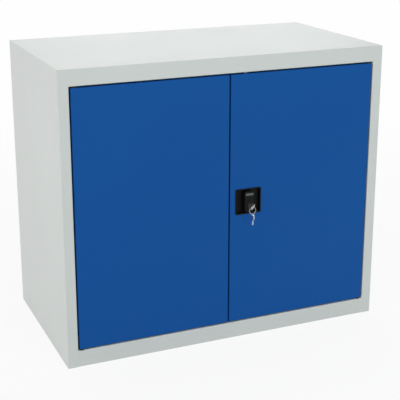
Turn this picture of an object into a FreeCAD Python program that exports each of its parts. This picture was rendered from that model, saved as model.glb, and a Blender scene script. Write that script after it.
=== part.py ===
import FreeCAD, Part

import math
import os
import re

import Sketcher

# A two-door steel tool cabinet. Millimetres, +Z up, the doors face -Y.
# The origin is at the middle of the base, on the floor.

# Driving dimensions, each set by itself
SIZES = {
    # Carcass
    "cabinet_width": 930.0,
    "cabinet_depth": 500.0,
    "cabinet_height": 800.0,
    "carcass_sheet": 1.2,
    "stile_face": 29.0,
    "top_rail_face": 44.0,
    "base_rail_face": 46.0,
    "stile_return": 24.0,
    "rail_return": 30.0,
    "stop_strip_height": 12.0,
    "base_flange": 15.0,
    "back_fold": 15.0,
    "bend_radius": 2.0,
    # Doors
    "door_gap": 4.0,
    "door_depth": 24.0,
    "door_sheet": 1.2,
    "door_lip": 12.0,
    "stiffener_width": 70.0,
    "stiffener_rise": 14.0,
    "stiffener_flange": 14.0,
    "stiffener_sheet": 1.0,
    "stiffener_end_gap": 25.0,
    "buffer_radius": 3.5,
    "buffer_inset": 70.0,
    "seat_clearance": 0.3,
    # Hinges
    "pin_radius": 3.0,
    "pin_clearance": 0.05,
    "pin_from_side": 8.0,
    "pin_from_front": 7.0,
    "pin_head_radius": 5.0,
    "pin_head_height": 2.5,
    "pin_tip_chamfer": 1.0,
    "bush_wall": 2.0,
    "bush_flange_width": 3.4,
    "bush_length": 12.0,
    # Shelves and their supports
    "slot_pitch": 25.0,
    "slot_width": 14.0,
    "slot_height": 4.0,
    "upright_width": 30.0,
    "upright_depth": 12.0,
    "upright_sheet": 1.2,
    "upright_end_gap": 12.0,
    "front_upright_setback": 75.0,
    "rear_upright_setback": 60.0,
    "lower_shelf_step_count": 9.0,
    "upper_shelf_step_count": 18.0,
    "shelf_sheet": 1.0,
    "shelf_fold": 25.0,
    "shelf_lip": 12.0,
    "shelf_front_setback": 52.0,
    "shelf_back_gap": 12.0,
    "shelf_side_gap": 3.0,
    "clip_sheet": 2.0,
    "clip_reach": 16.0,
    "clip_drop": 14.0,
    "clip_play": 0.5,
    # Lock plate and turning handle
    "lock_from_edge": 53.6,
    "lock_height": 400.0,
    "plate_width": 76.5,
    "plate_height": 72.0,
    "plate_proud": 2.0,
    "plate_rim": 3.0,
    "plate_corner": 4.0,
    "dish_wall": 1.5,
    "dish_depth": 9.0,
    "dish_floor": 2.0,
    "bar_width": 27.0,
    "bar_height": 58.0,
    "bar_proud": 10.0,
    "bar_corner": 6.0,
    "bar_edge": 1.5,
    "bar_floor_gap": 0.3,
    "label_width": 23.0,
    "label_height": 6.5,
    "label_recess": 0.4,
    "label_from_top": 4.5,
    # Rack and pinion behind the plate
    "tooth_module": 2.0,
    "tooth_count": 12.0,
    "pressure_angle": 25.0,
    "tooth_backlash": 0.3,
    "gear_thickness": 3.0,
    "gear_side_gap": 0.3,
    "spindle_radius": 5.0,
    "spindle_into_bar": 5.4,
    "collar_radius": 8.0,
    "case_half_width": 27.0,
    "case_half_height": 33.0,
    "case_sheet": 1.2,
    "cover_sheet": 1.5,
    "cover_screw_radius": 1.5,
    "cover_screw_head_radius": 2.8,
    "cover_screw_head": 1.2,
    "cover_screw_inset": 4.5,
    # Locking rods
    "rod_width": 12.0,
    "rod_shift": 5.6,
    "rod_tip_proud": 1.5,
    "rod_tip_chamfer": 3.0,
    "rack_back": 8.0,
    "rack_end_rise": 19.0,
    "jog_height": 10.0,
    "guide_play": 0.3,
    "guide_wall": 3.0,
    "guide_height": 8.0,
    "keeper_play": 1.0,
    # Centre latch
    "tongue_width": 16.0,
    "tongue_sheet": 3.0,
    "tongue_corner": 4.0,
    "tongue_overlap": 12.0,
    "tongue_lip_gap": 0.8,
    "spindle_nut_height": 4.0,
    "spindle_nut_flats": 13.0,
    "spindle_thread_radius": 4.0,
    # Cylinder and keys
    "cylinder_below_centre": 9.0,
    "sleeve_radius": 7.5,
    "plug_radius": 5.5,
    "plug_clearance": 0.05,
    "plug_length": 11.0,
    "cam_sheet": 2.0,
    "cam_half_width": 3.5,
    "cam_reach": 7.5,
    "cam_tail": 6.0,
    "cam_pocket_gap": 0.5,
    "key_turn": 36.0,
    "key_sheet": 2.0,
    "key_blade_height": 7.0,
    "key_blade_length": 10.5,
    "key_tip_height": 1.8,
    "key_tip_bevel": 1.8,
    "key_neck": 3.0,
    "key_bow_radius": 10.5,
    "key_bow_flat": 9.0,
    "key_hole_radius": 3.0,
    "key_hole_inset": 4.5,
    "ring_radius": 9.5,
    "ring_wire_radius": 0.8,
    "ring_play": 0.15,
    "ring_slant_play": 0.8,
    # Cuts run past the sheet by this much
    "overrun": 1.0,
}

# Sizes and places that follow from the driving dimensions, each a formula of the cells above it
WORKED = {
    "front": "-cabinet_depth / 2",
    "back": "cabinet_depth / 2",
    "half_width": "cabinet_width / 2",
    "half_opening": "half_width - stile_face",
    "opening_top": "cabinet_height - top_rail_face",
    "opening_height": "opening_top - base_rail_face",
    "inner_half_width": "half_width - carcass_sheet",
    "rail_back": "front + rail_return",
    "door_height": "opening_height - 2 * door_gap",
    "door_low": "base_rail_face + door_gap",
    "door_top": "opening_top - door_gap",
    "door_free_edge": "door_gap / 2",
    "door_hinge_edge": "half_opening - door_gap",
    "door_back": "front + door_depth",
    "skin_back": "front + door_sheet",
    "door_middle": "(door_free_edge + door_hinge_edge) / 2",
    "pin_across": "door_hinge_edge - pin_from_side",
    "pin_along": "front + pin_from_front",
    "bush_radius": "pin_radius + bush_wall",
    "bush_flange_height": "door_gap - seat_clearance",
    "bush_flange_radius": "bush_radius + bush_flange_width / 2",
    "pin_reach": "door_gap + bush_length - pin_tip_chamfer",
    "web_face": "inner_half_width - upright_depth",
    "upright_low": "base_rail_face + upright_end_gap",
    "upright_height": "opening_height - 2 * upright_end_gap",
    "front_upright": "front + front_upright_setback",
    "rear_upright": "back - rear_upright_setback",
    "slot_count": "floor(upright_height / slot_pitch) - 1",
    "first_slot": "upright_low + slot_pitch",
    "shelf_half": "web_face - shelf_side_gap",
    "shelf_front": "front + shelf_front_setback",
    "shelf_back": "back - 2 * carcass_sheet - shelf_back_gap",
    "lower_tab": "first_slot + slot_height + lower_shelf_step_count * slot_pitch",
    "upper_tab": "first_slot + slot_height + upper_shelf_step_count * slot_pitch",
    "clip_width": "slot_width - 2 * clip_play",
    "lock_across": "door_free_edge + lock_from_edge",
    "dish_half_width": "plate_width / 2 - plate_rim",
    "dish_half_height": "plate_height / 2 - plate_rim",
    "dish_face": "front + dish_depth",
    "dish_rear": "dish_face + dish_floor",
    "bar_front": "front - bar_proud",
    "bar_back": "dish_face - bar_floor_gap",
    "gear_front": "dish_rear + case_sheet + gear_side_gap",
    "gear_back": "gear_front + gear_thickness",
    "case_back": "gear_back + gear_side_gap",
    "cover_back": "case_back + cover_sheet",
    "pitch_radius": "tooth_module * tooth_count / 2",
    "rod_high": "door_top + rod_tip_proud",
    "rod_low": "door_low - rod_tip_proud",
    "spindle_bore": "spindle_radius + pin_clearance",
    "tongue_front": "door_back + tongue_lip_gap",
    "tongue_back": "tongue_front + tongue_sheet",
    "tongue_length": "lock_across + door_free_edge + tongue_overlap",
    "cylinder_height": "lock_height - cylinder_below_centre",
    "cam_face": "bar_front + plug_length",
    "bow_centre": "bar_front - key_neck - key_bow_radius",
    "key_hole_along": "bow_centre - key_bow_radius + key_hole_inset",
    "hang_drop": "key_hole_radius - ring_wire_radius - ring_play",
    "slant_room": "key_sheet / 2 * tan(key_turn * 1deg) + ring_wire_radius / cos(key_turn * 1deg)",
    "slant_drop": "(key_hole_radius - ring_slant_play - slant_room) / cos(key_turn * 1deg)",
    "ring_top": "cylinder_height - slant_drop",
    "ring_centre": "ring_top - ring_radius",
    "ring_bottom": "ring_centre - ring_radius",
    "spare_hole": "ring_bottom - hang_drop",
}

# Tooth heights as shares of the module, the teeth on a rack and the straight parts of a flank
ADDENDUM_SHARE = 0.9
DEDENDUM_SHARE = 1.15
RACK_TEETH_BELOW = 4
RACK_TEETH_ABOVE = 2
FLANK_STEPS = 5

NUT_SIDES = 6

doc = FreeCAD.newDocument("tool_cabinet")
sizes = doc.addObject("Spreadsheet::Sheet", "sizes")
worked = doc.addObject("Spreadsheet::Sheet", "worked")


def cells(text):
    """A formula with each plain name turned into its cell in one of the two sheets."""

    def cell(found):
        word = found.group(0)
        if word in SIZES:
            return "sizes." + word
        if word in WORKED:
            return "worked." + word
        return word

    return re.sub(r"[a-z][a-z_]+", cell, text)


def fill_sheets():
    """Writes the driving dimensions as plain numbers and the rest as formulas."""
    for row, (name, number) in enumerate(SIZES.items(), 1):
        sizes.set(f"A{row}", name.replace("_", " "))
        sizes.set(f"B{row}", str(number))
        sizes.setAlias(f"B{row}", name)
    doc.recompute()
    for row, (name, formula) in enumerate(WORKED.items(), 1):
        worked.set(f"A{row}", name.replace("_", " "))
        worked.set(f"B{row}", "=" + cells(formula))
        worked.setAlias(f"B{row}", name)
    doc.recompute()


def value(text):
    """The number that a formula of the sheets gives now."""
    found = sizes.evalExpression(cells(text))
    return float(getattr(found, "Value", found))


def bind(thing, **formulas):
    """Ties properties of an object to formulas of the sheets."""
    for name, formula in formulas.items():
        thing.setExpression(name.replace("__", "."), cells(formula))
    return thing


def body(label):
    """An empty PartDesign body with its label."""
    made = doc.addObject("PartDesign::Body", label)
    made.Label = label
    return made


def origin_plane(owner, role):
    """One of a body's three origin planes."""
    return next(f for f in owner.Origin.OriginFeatures if f.Role == role)


PLANES = {"plan": "XY_Plane", "front": "XZ_Plane", "side": "YZ_Plane"}


def sketch_on(owner, plane, start):
    """An empty sketch parallel to one of the origin planes, at a place along its axis."""
    sketch = owner.newObject("Sketcher::SketchObject", "sketch")
    sketch.AttachmentSupport = (origin_plane(owner, PLANES[plane]), [""])
    sketch.MapMode = "FlatFace"
    along = f"-({start})" if plane == "front" else start
    sketch.setExpression("AttachmentOffset.Base.z", cells(along))
    return sketch


def dimension(sketch, kind, geometry, point, formula):
    """Holds one coordinate of a sketch point with a dimension tied to the sheets."""
    made = Sketcher.Constraint(kind, -1, 1, geometry, point, value(formula))
    index = sketch.addConstraint(made)
    sketch.setExpression(f"Constraints[{index}]", cells(formula))


def draw_outline(sketch, points):
    """Draws a closed outline whose corners are all dimensioned from the origin."""
    spots = [FreeCAD.Vector(value(across), value(up), 0) for across, up in points]
    first = sketch.GeometryCount
    count = len(points)
    for index in range(count):
        sketch.addGeometry(Part.LineSegment(spots[index], spots[(index + 1) % count]))
    for index in range(count):
        after = first + (index + 1) % count
        sketch.addConstraint(Sketcher.Constraint("Coincident", first + index, 2, after, 1))
    for index, (across, up) in enumerate(points):
        dimension(sketch, "DistanceX", first + index, 1, across)
        dimension(sketch, "DistanceY", first + index, 1, up)


def draw_circle(sketch, across, up, radius):
    """Draws a circle whose centre and radius are dimensioned."""
    centre = FreeCAD.Vector(value(across), value(up), 0)
    normal = FreeCAD.Vector(0, 0, 1)
    index = sketch.addGeometry(Part.Circle(centre, normal, value(radius)))
    dimension(sketch, "DistanceX", index, 3, across)
    dimension(sketch, "DistanceY", index, 3, up)
    held = sketch.addConstraint(Sketcher.Constraint("Radius", index, value(radius)))
    sketch.setExpression(f"Constraints[{held}]", cells(radius))


def solid(owner, plane, start, length, outlines=(), circles=(), cut=False):
    """Adds or cuts the outlines, from start for a length towards the positive axis."""
    sketch = sketch_on(owner, plane, start)
    for points in outlines:
        draw_outline(sketch, points)
    for circle in circles:
        draw_circle(sketch, *circle)
    feature = owner.newObject("PartDesign::Pocket" if cut else "PartDesign::Pad", "step")
    feature.Profile = sketch
    feature.Reversed = cut != (plane == "front")
    bind(feature, Length=length)
    owner.Tip = feature
    doc.recompute()
    return feature


def cut(owner, plane, start, length, outlines=(), circles=()):
    """Cuts the outlines out of a body and makes sure that material went."""
    before = owner.Shape.Volume
    feature = solid(owner, plane, start, length, outlines, circles, cut=True)
    if not owner.Shape.Volume < before:
        raise RuntimeError(f"a cut removed nothing from {owner.Label}")
    return feature


def rectangle(left, low, right, high):
    """The four corners of a rectangle."""
    return [(left, low), (right, low), (right, high), (left, high)]


def shell_band(left, low, right, high, wall):
    """A rectangle and the same rectangle drawn in by a wall, for a closed band."""
    inner = rectangle(f"{left} + {wall}", f"{low} + {wall}", f"{right} - {wall}", f"{high} - {wall}")
    return [rectangle(left, low, right, high), inner]


def edges_where(owner, lines):
    """The names of the body's edges whose two ends both lie on one of the lines or planes.

    A line or plane is given by its x, y and z, with None for what is free.
    """

    def lies_on(point, line):
        pairs = zip(point, line)
        return all(wanted is None or near(found, wanted) for found, wanted in pairs)

    names = []
    for index, edge in enumerate(owner.Shape.Edges, 1):
        ends = [vertex.Point for vertex in edge.Vertexes]
        if len(ends) == 2 and any(all(lies_on(end, line) for end in ends) for line in lines):
            names.append(f"Edge{index}")
    return names


def near(one, other):
    """Whether two coordinates are the same within a hundredth of the thinnest sheet."""
    return abs(one - other) < value("shelf_sheet") / 100


def dress(owner, kind, size, lines):
    """Rounds or bevels the edges that lie on the lines or planes."""
    edges = (owner.Tip, edges_where(owner, lines))
    feature = owner.newObject("PartDesign::" + kind, kind.lower())
    feature.Base = edges
    bind(feature, **{"Radius" if kind == "Fillet" else "Size": size})
    owner.Tip = feature
    doc.recompute()
    return feature


def turned(label, across, along, start, profile):
    """A round piece: an outline of (radius, height) pairs turned about an upright axis."""
    made = body(label)
    sketch = sketch_on(made, "front", "0")
    draw_outline(sketch, profile)
    feature = made.newObject("PartDesign::Revolution", "turning")
    feature.Profile = sketch
    feature.ReferenceAxis = (sketch, ["V_Axis"])
    made.Tip = feature
    bind(made, Placement__Base__x=across, Placement__Base__y=along, Placement__Base__z=start)
    doc.recompute()
    return made


# Carcass

def side_panel(label, side):
    """A side: its front edge is folded round the stile and back along the opening."""
    made = body(label)

    def across(inset):
        return f"{side} * (half_width - ({inset}))"

    sheet = "carcass_sheet"
    profile = [
        (across("0"), "front"),
        (across("0"), "back"),
        (across("back_fold"), "back"),
        (across("back_fold"), f"back - {sheet}"),
        (across(sheet), f"back - {sheet}"),
        (across(sheet), f"front + {sheet}"),
        (across(f"stile_face - {sheet}"), f"front + {sheet}"),
        (across(f"stile_face - {sheet}"), "front + stile_return"),
        (across("stile_face"), "front + stile_return"),
        (across("stile_face"), "front"),
    ]
    solid(made, "plan", "0", "cabinet_height - carcass_sheet", [profile])
    dress(made, "Fillet", "bend_radius", [(value(across("0")), value("front"), None)])
    return made


def keeper_slot(across):
    """The slot that a locking rod enters, as a rectangle seen from above."""
    half = "(rod_width / 2 + keeper_play)"
    low, high = "gear_front - keeper_play", "gear_back + keeper_play"
    return rectangle(f"{across} - {half}", low, f"{across} + {half}", high)


def top_panel():
    """The top: a sheet whose front is folded down and back as the top rail."""
    made = body("top_panel")
    sheet = "carcass_sheet"
    top = "cabinet_height"
    cover = rectangle("-half_width", "front", "half_width", "back")
    solid(made, "plan", f"{top} - {sheet}", sheet, [cover])
    rail = [
        ("front", "opening_top"),
        ("rail_back", "opening_top"),
        ("rail_back", f"opening_top + {sheet}"),
        (f"front + {sheet}", f"opening_top + {sheet}"),
        (f"front + {sheet}", f"{top} - {sheet}"),
        ("front", f"{top} - {sheet}"),
    ]
    solid(made, "side", "-half_opening", "2 * half_opening", [rail])
    rear = rectangle(f"back - {sheet}", f"{top} - back_fold", "back", f"{top} - {sheet}")
    solid(made, "side", "-(half_width - back_fold)", "2 * (half_width - back_fold)", [rear])
    corners = [(value(f"{side} * half_width"), value("front"), None) for side in (-1, 1)]
    dress(made, "Fillet", "bend_radius", corners)
    holes = [(f"{side} * pin_across", "pin_along", "pin_radius") for side in (-1, 1)]
    start, through = "opening_top - overrun", "carcass_sheet + 2 * overrun"
    cut(made, "plan", start, through, [keeper_slot("lock_across - rod_shift")], holes)
    return made


def stop_strip():
    """The strip welded under the top rail that the doors close against."""
    made = body("stop_strip")
    low = "opening_top - stop_strip_height"
    strip = rectangle("rail_back - carcass_sheet", low, "rail_back", "opening_top")
    solid(made, "side", "-half_opening", "2 * half_opening", [strip])
    return made


def base_outline(inset):
    """The base seen from above, notched round the folds of the stiles and drawn in by an inset."""
    near_edge, notch = f"front + {inset}", f"front + stile_return + {inset}"
    rear = f"back - carcass_sheet - {inset}"
    narrow, wide = f"(half_opening - {inset})", f"(inner_half_width - {inset})"
    return [
        (f"-{narrow}", near_edge),
        (narrow, near_edge),
        (narrow, notch),
        (wide, notch),
        (wide, rear),
        (f"-{wide}", rear),
        (f"-{wide}", notch),
        (f"-{narrow}", notch),
    ]


def base_panel():
    """The base: a tray turned upside down, its skirt folded in again as the ring it stands on."""
    made = body("base_panel")
    sheet = "carcass_sheet"
    outer = base_outline("0")
    deck_low = f"base_rail_face - {sheet}"
    solid(made, "plan", deck_low, sheet, [outer])
    solid(made, "plan", sheet, f"{deck_low} - {sheet}", [outer, base_outline(sheet)])
    solid(made, "plan", "0", sheet, [outer, base_outline("base_flange")])
    holes = [(f"{side} * pin_across", "pin_along", "pin_radius") for side in (-1, 1)]
    start, through = f"{deck_low} - overrun", f"{sheet} + 2 * overrun"
    cut(made, "plan", start, through, [keeper_slot("lock_across + rod_shift")], holes)
    return made


def back_panel():
    """The back: a plain sheet that lies against the folds of the sides and the top."""
    made = body("back_panel")
    low, high = "base_rail_face", "cabinet_height - carcass_sheet"
    sheet = rectangle("-inner_half_width", low, "inner_half_width", high)
    solid(made, "front", "back - 2 * carcass_sheet", "carcass_sheet", [sheet])
    return made


def shelf_upright(label, side, middle):
    """A slotted channel on a side panel, with one slot for every step of the shelves."""
    made = body(label)
    sheet = "upright_sheet"
    low, high = f"{middle} - upright_width / 2", f"{middle} + upright_width / 2"

    def across(inset):
        return f"{side} * (inner_half_width - ({inset}))"

    channel = [
        (across("0"), low),
        (across("upright_depth"), low),
        (across("upright_depth"), high),
        (across("0"), high),
        (across("0"), f"{high} - {sheet}"),
        (across(f"upright_depth - {sheet}"), f"{high} - {sheet}"),
        (across(f"upright_depth - {sheet}"), f"{low} + {sheet}"),
        (across("0"), f"{low} + {sheet}"),
    ]
    solid(made, "plan", "upright_low", "upright_height", [channel])
    left, right = f"{middle} - slot_width / 2", f"{middle} + slot_width / 2"
    slot = rectangle(left, "first_slot", right, "first_slot + slot_height")
    inner = across("upright_depth") if side > 0 else across(f"upright_depth - {sheet}")
    first = cut(made, "side", f"{inner} - overrun", f"{sheet} + 2 * overrun", [slot])
    rows = made.newObject("PartDesign::LinearPattern", "slots")
    rows.Originals = [first]
    rows.Direction = (origin_plane(made, "Z_Axis"), [""])
    rows.Mode = "Spacing"
    bind(rows, Offset="slot_pitch", Occurrences="slot_count")
    made.Tip = rows
    doc.recompute()
    return made


def shelf(label, tab):
    """A shelf: a tray turned upside down, its front and rear folded under with a lip."""
    made = body(label)
    sheet = "shelf_sheet"
    under = tab
    level = f"{tab} + {sheet}"
    profile = [
        ("shelf_front", level),
        ("shelf_front", f"{level} - shelf_fold"),
        ("shelf_front + shelf_lip", f"{level} - shelf_fold"),
        ("shelf_front + shelf_lip", f"{level} - shelf_fold + {sheet}"),
        (f"shelf_front + {sheet}", f"{level} - shelf_fold + {sheet}"),
        (f"shelf_front + {sheet}", under),
        (f"shelf_back - {sheet}", under),
        (f"shelf_back - {sheet}", f"{level} - shelf_fold + {sheet}"),
        ("shelf_back - shelf_lip", f"{level} - shelf_fold + {sheet}"),
        ("shelf_back - shelf_lip", f"{level} - shelf_fold"),
        ("shelf_back", f"{level} - shelf_fold"),
        ("shelf_back", level),
    ]
    solid(made, "side", "-shelf_half", "2 * shelf_half", [profile])
    return made


def shelf_clips(label, tab):
    """The four steel clips of one shelf, each hooked through a slot of its upright."""
    clips = []
    for side in (-1, 1):
        for middle in ("front_upright", "rear_upright"):
            clip = body(f"{label}_one")

            def across(reach):
                return f"{side} * (web_face - ({reach}))"

            arm = [
                (across("0"), f"{tab} - clip_drop"),
                (across("0"), f"{tab} - slot_height + clip_play"),
                (across("-upright_sheet - clip_sheet"), f"{tab} - slot_height + clip_play"),
                (across("-upright_sheet - clip_sheet"), f"{tab} - clip_play"),
                (across("0"), f"{tab} - clip_play"),
                (across("0"), tab),
                (across("clip_reach"), tab),
                (across("clip_reach"), f"{tab} - clip_sheet"),
                (across("clip_sheet"), f"{tab} - clip_sheet"),
                (across("clip_sheet"), f"{tab} - clip_drop"),
            ]
            solid(clip, "front", f"{middle} - clip_width / 2", "clip_width", [arm])
            clips.append(clip)
    group = doc.addObject("Part::Compound", label)
    group.Label = label
    group.Links = clips
    return group


# Doors and hinges

def door_panel(label, side):
    """A door: a pan of folded sheet with lips round its open back and a hole for each hinge bush."""
    made = body(label)
    sheet = "door_sheet"
    left, right = "door_free_edge", "door_hinge_edge"
    if side < 0:
        left, right = f"-{right}", f"-{left}"
    low, high = "door_low", "door_top"
    solid(made, "front", "front", sheet, [rectangle(left, low, right, high)])
    band = shell_band(left, low, right, high, sheet)
    solid(made, "front", f"front + {sheet}", f"door_depth - 2 * {sheet}", band)
    lips = shell_band(left, low, right, high, "door_lip")
    solid(made, "front", f"door_back - {sheet}", sheet, lips)
    hole = [(f"{side} * pin_across", "pin_along", "bush_radius")]
    slots = {"door_low": "lock_across + rod_shift", "door_top - door_sheet": "lock_across - rod_shift"}
    for start, across in slots.items():
        outlines = [guide_seat(across)] if side > 0 else []
        cut(made, "plan", f"{start} - overrun", f"{sheet} + 2 * overrun", outlines, hole)
    if side > 0:
        window = rectangle(
            "lock_across - dish_half_width - dish_wall",
            "lock_height - dish_half_height - dish_wall",
            "lock_across + dish_half_width + dish_wall",
            "lock_height + dish_half_height + dish_wall",
        )
        cut(made, "front", "front - overrun", f"{sheet} + 2 * overrun", [window])
    return made


def guide_seat(across):
    """The hole for a rod guide in a door's edge, seen from above."""
    half = "(rod_width / 2 + guide_play + guide_wall / 2)"
    low = "gear_front - guide_play - guide_wall / 2"
    high = "gear_back + guide_play + guide_wall / 2"
    return rectangle(f"{across} - {half}", low, f"{across} + {half}", high)


def door_stiffener(label, side):
    """A hat channel welded upright behind the door's face."""
    made = body(label)
    sheet = "stiffener_sheet"
    centre = f"{side} * door_middle"
    half, reach = "stiffener_width / 2", "stiffener_width / 2 + stiffener_flange"
    base, crown = "skin_back", "skin_back + stiffener_rise"

    def half_hat(sign, order):
        points = [
            (f"{centre} + {sign} * ({reach})", f"{base} + {sheet}"),
            (f"{centre} + {sign} * ({reach})", base),
            (f"{centre} + {sign} * ({half} - {sheet})", base),
            (f"{centre} + {sign} * ({half} - {sheet})", f"{crown} - {sheet}"),
        ]
        outer = [
            (f"{centre} + {sign} * ({half})", crown),
            (f"{centre} + {sign} * ({half})", f"{base} + {sheet}"),
        ]
        return (outer + points)[::order]

    hat = half_hat(1, 1) + half_hat(-1, -1)
    low, height = "door_low + stiffener_end_gap", "door_height - 2 * stiffener_end_gap"
    solid(made, "plan", low, height, [hat])
    return made


def hinge_bush(label, side, upper):
    """A nylon bush pressed into the door's edge, its flange carrying the door on the sheet."""
    way = -1 if upper else 1
    profile = [
        ("pin_radius + pin_clearance", f"{-way} * bush_flange_height"),
        ("bush_flange_radius", f"{-way} * bush_flange_height"),
        ("bush_flange_radius", "0"),
        ("bush_radius", "0"),
        ("bush_radius", f"{way} * bush_length"),
        ("pin_radius + pin_clearance", f"{way} * bush_length"),
    ]
    start = "door_top" if upper else "door_low"
    return turned(label, f"{side} * pin_across", "pin_along", start, profile)


def hinge_pin(label, side, upper):
    """A hinge pin through the sheet of the carcass, with its head inside the rail."""
    way = -1 if upper else 1
    seat = f"{-way} * carcass_sheet"
    profile = [
        ("0", f"{seat} - {way} * pin_head_height"),
        ("pin_head_radius", f"{seat} - {way} * pin_head_height"),
        ("pin_head_radius", seat),
        ("pin_radius", seat),
        ("pin_radius", f"{way} * (pin_reach - pin_tip_chamfer)"),
        ("pin_radius - pin_tip_chamfer", f"{way} * pin_reach"),
        ("0", f"{way} * pin_reach"),
    ]
    start = "opening_top" if upper else "base_rail_face"
    return turned(label, f"{side} * pin_across", "pin_along", start, profile)


def door_buffers():
    """Four rubber buffers on the stop strip, two behind the top of each door."""
    made = body("door_buffers")
    places = ("door_free_edge + buffer_inset", "door_hinge_edge - buffer_inset")
    height = "door_top - buffer_radius"
    circles = [(f"{side} * ({place})", height, "buffer_radius") for side in (-1, 1) for place in places]
    start = "door_back + seat_clearance"
    length = "rail_back - carcass_sheet - door_back - seat_clearance"
    solid(made, "front", start, length, circles=circles)
    return made


# Lock plate, turning handle and latch

def lock_rectangle(half_width, half_height):
    """A rectangle centred on the lock's axis, seen from the front."""
    return rectangle(
        f"lock_across - ({half_width})",
        f"lock_height - ({half_height})",
        f"lock_across + ({half_width})",
        f"lock_height + ({half_height})",
    )


def lock_corners(half_width, half_height):
    """The four lines along Y through the corners of such a rectangle, the upper two first."""
    return [
        (
            value(f"lock_across + {right} * ({half_width})"),
            None,
            value(f"lock_height + {up} * ({half_height})"),
        )
        for up in (1, -1)
        for right in (-1, 1)
    ]


def lock_dish():
    """The moulded plate: a flange on the door's face and a dish that the handle turns in."""
    made = body("lock_dish")
    plate = lock_rectangle("plate_width / 2", "plate_height / 2")
    solid(made, "front", "front - plate_proud", "plate_proud", [plate])
    outer = lock_rectangle("dish_half_width + dish_wall", "dish_half_height + dish_wall")
    solid(made, "front", "front", "dish_depth + dish_floor", [outer])
    dress(made, "Fillet", "plate_corner", lock_corners("plate_width / 2", "plate_height / 2"))
    hollow = lock_rectangle("dish_half_width", "dish_half_height")
    cut(made, "front", "front - plate_proud - overrun", "plate_proud + overrun + dish_depth", [hollow])
    bore = [("lock_across", "lock_height", "spindle_bore")]
    cut(made, "front", "dish_face - overrun", "dish_floor + 2 * overrun", circles=bore)
    return made


def turn_handle():
    """The turning bar, bored for the cylinder and the spindle, with a bare place for a label."""
    made = body("turn_handle")
    outline = lock_rectangle("bar_width / 2", "bar_height / 2")
    solid(made, "front", "bar_front", "bar_back - bar_front", [outline])
    dress(made, "Fillet", "bar_corner", lock_corners("bar_width / 2", "bar_height / 2"))
    dress(made, "Chamfer", "bar_edge", [(None, value("bar_front"), None)])
    sleeve = [("lock_across", "cylinder_height", "sleeve_radius")]
    cut(made, "front", "bar_front - overrun", "plug_length + overrun", circles=sleeve)
    pocket = [("lock_across", "cylinder_height", "cam_reach + cam_pocket_gap")]
    cut(made, "front", "cam_face", "bar_back - cam_face + overrun", circles=pocket)
    bore = [("lock_across", "lock_height", "spindle_radius")]
    cut(made, "front", "bar_back - spindle_into_bar", "spindle_into_bar + overrun", circles=bore)
    cut(made, "front", "bar_front - overrun", "label_recess + overrun", [label_outline()])
    return made


def label_outline():
    """The bare label's rectangle near the top of the bar."""
    high = "lock_height + bar_height / 2 - label_from_top"
    left, right = "lock_across - label_width / 2", "lock_across + label_width / 2"
    return rectangle(left, f"{high} - label_height", right, high)


def blank_label():
    """A bare label in its recess."""
    made = body("blank_label")
    solid(made, "front", "bar_front", "label_recess", [label_outline()])
    return made


def involute_angle(angle):
    """The involute function of a pressure angle in radians."""
    return math.tan(angle) - angle


def pinion_outline():
    """The pinion's outline about its own axis, with involute flanks, as points in the gear's plane."""
    count = round(value("tooth_count"))
    pitch = value("pitch_radius")
    pressure = math.radians(value("pressure_angle"))
    base = pitch * math.cos(pressure)
    tip = pitch + ADDENDUM_SHARE * value("tooth_module")
    root = pitch - DEDENDUM_SHARE * value("tooth_module")
    half_tooth = math.pi / (2 * count) - value("tooth_backlash") / (4 * pitch)
    flank = [(root, half_tooth + involute_angle(pressure))]
    for step in range(FLANK_STEPS + 1):
        radius = base + (tip - base) * step / FLANK_STEPS
        turn = involute_angle(math.acos(min(base / radius, 1)))
        flank.append((radius, half_tooth + involute_angle(pressure) - turn))
    points = []
    for tooth in range(count):
        middle = tooth * 2 * math.pi / count
        rising = [(radius, middle - angle) for radius, angle in flank]
        falling = [(radius, middle + angle) for radius, angle in reversed(flank)]
        points += rising + falling
    return [(radius * math.cos(angle), radius * math.sin(angle)) for radius, angle in points]


def prism(points, start, length):
    """A solid from points seen from the front, pushed back from start by a length."""
    spots = [FreeCAD.Vector(across, start, up) for across, up in points]
    wire = Part.makePolygon(spots + spots[:1])
    return Part.Face(wire).extrude(FreeCAD.Vector(0, length, 0))


def drum(radius, start, end):
    """A cylinder on the lock's axis from start to end."""
    place = FreeCAD.Vector(value("lock_across"), start, value("lock_height"))
    return Part.makeCylinder(radius, end - start, place, FreeCAD.Vector(0, 1, 0))


def pinion_spindle():
    """The spindle of the handle in one piece with its pinion and the thread for the latch's nut."""
    across, up = value("lock_across"), value("lock_height")
    points = [(across + x, up + z) for x, z in pinion_outline()]
    gear = prism(points, value("gear_front"), value("gear_thickness"))
    shaft = drum(value("spindle_radius"), value("bar_back - spindle_into_bar"), value("tongue_front"))
    end = value("tongue_back + spindle_nut_height + overrun")
    thread = drum(value("spindle_thread_radius"), value("tongue_front"), end)
    collar = drum(value("collar_radius"), value("cover_back + gear_side_gap"), value("tongue_front"))
    made = doc.addObject("Part::Feature", "pinion_spindle")
    made.Shape = gear.fuse([shaft, thread, collar]).removeSplitter()
    return made


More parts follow.
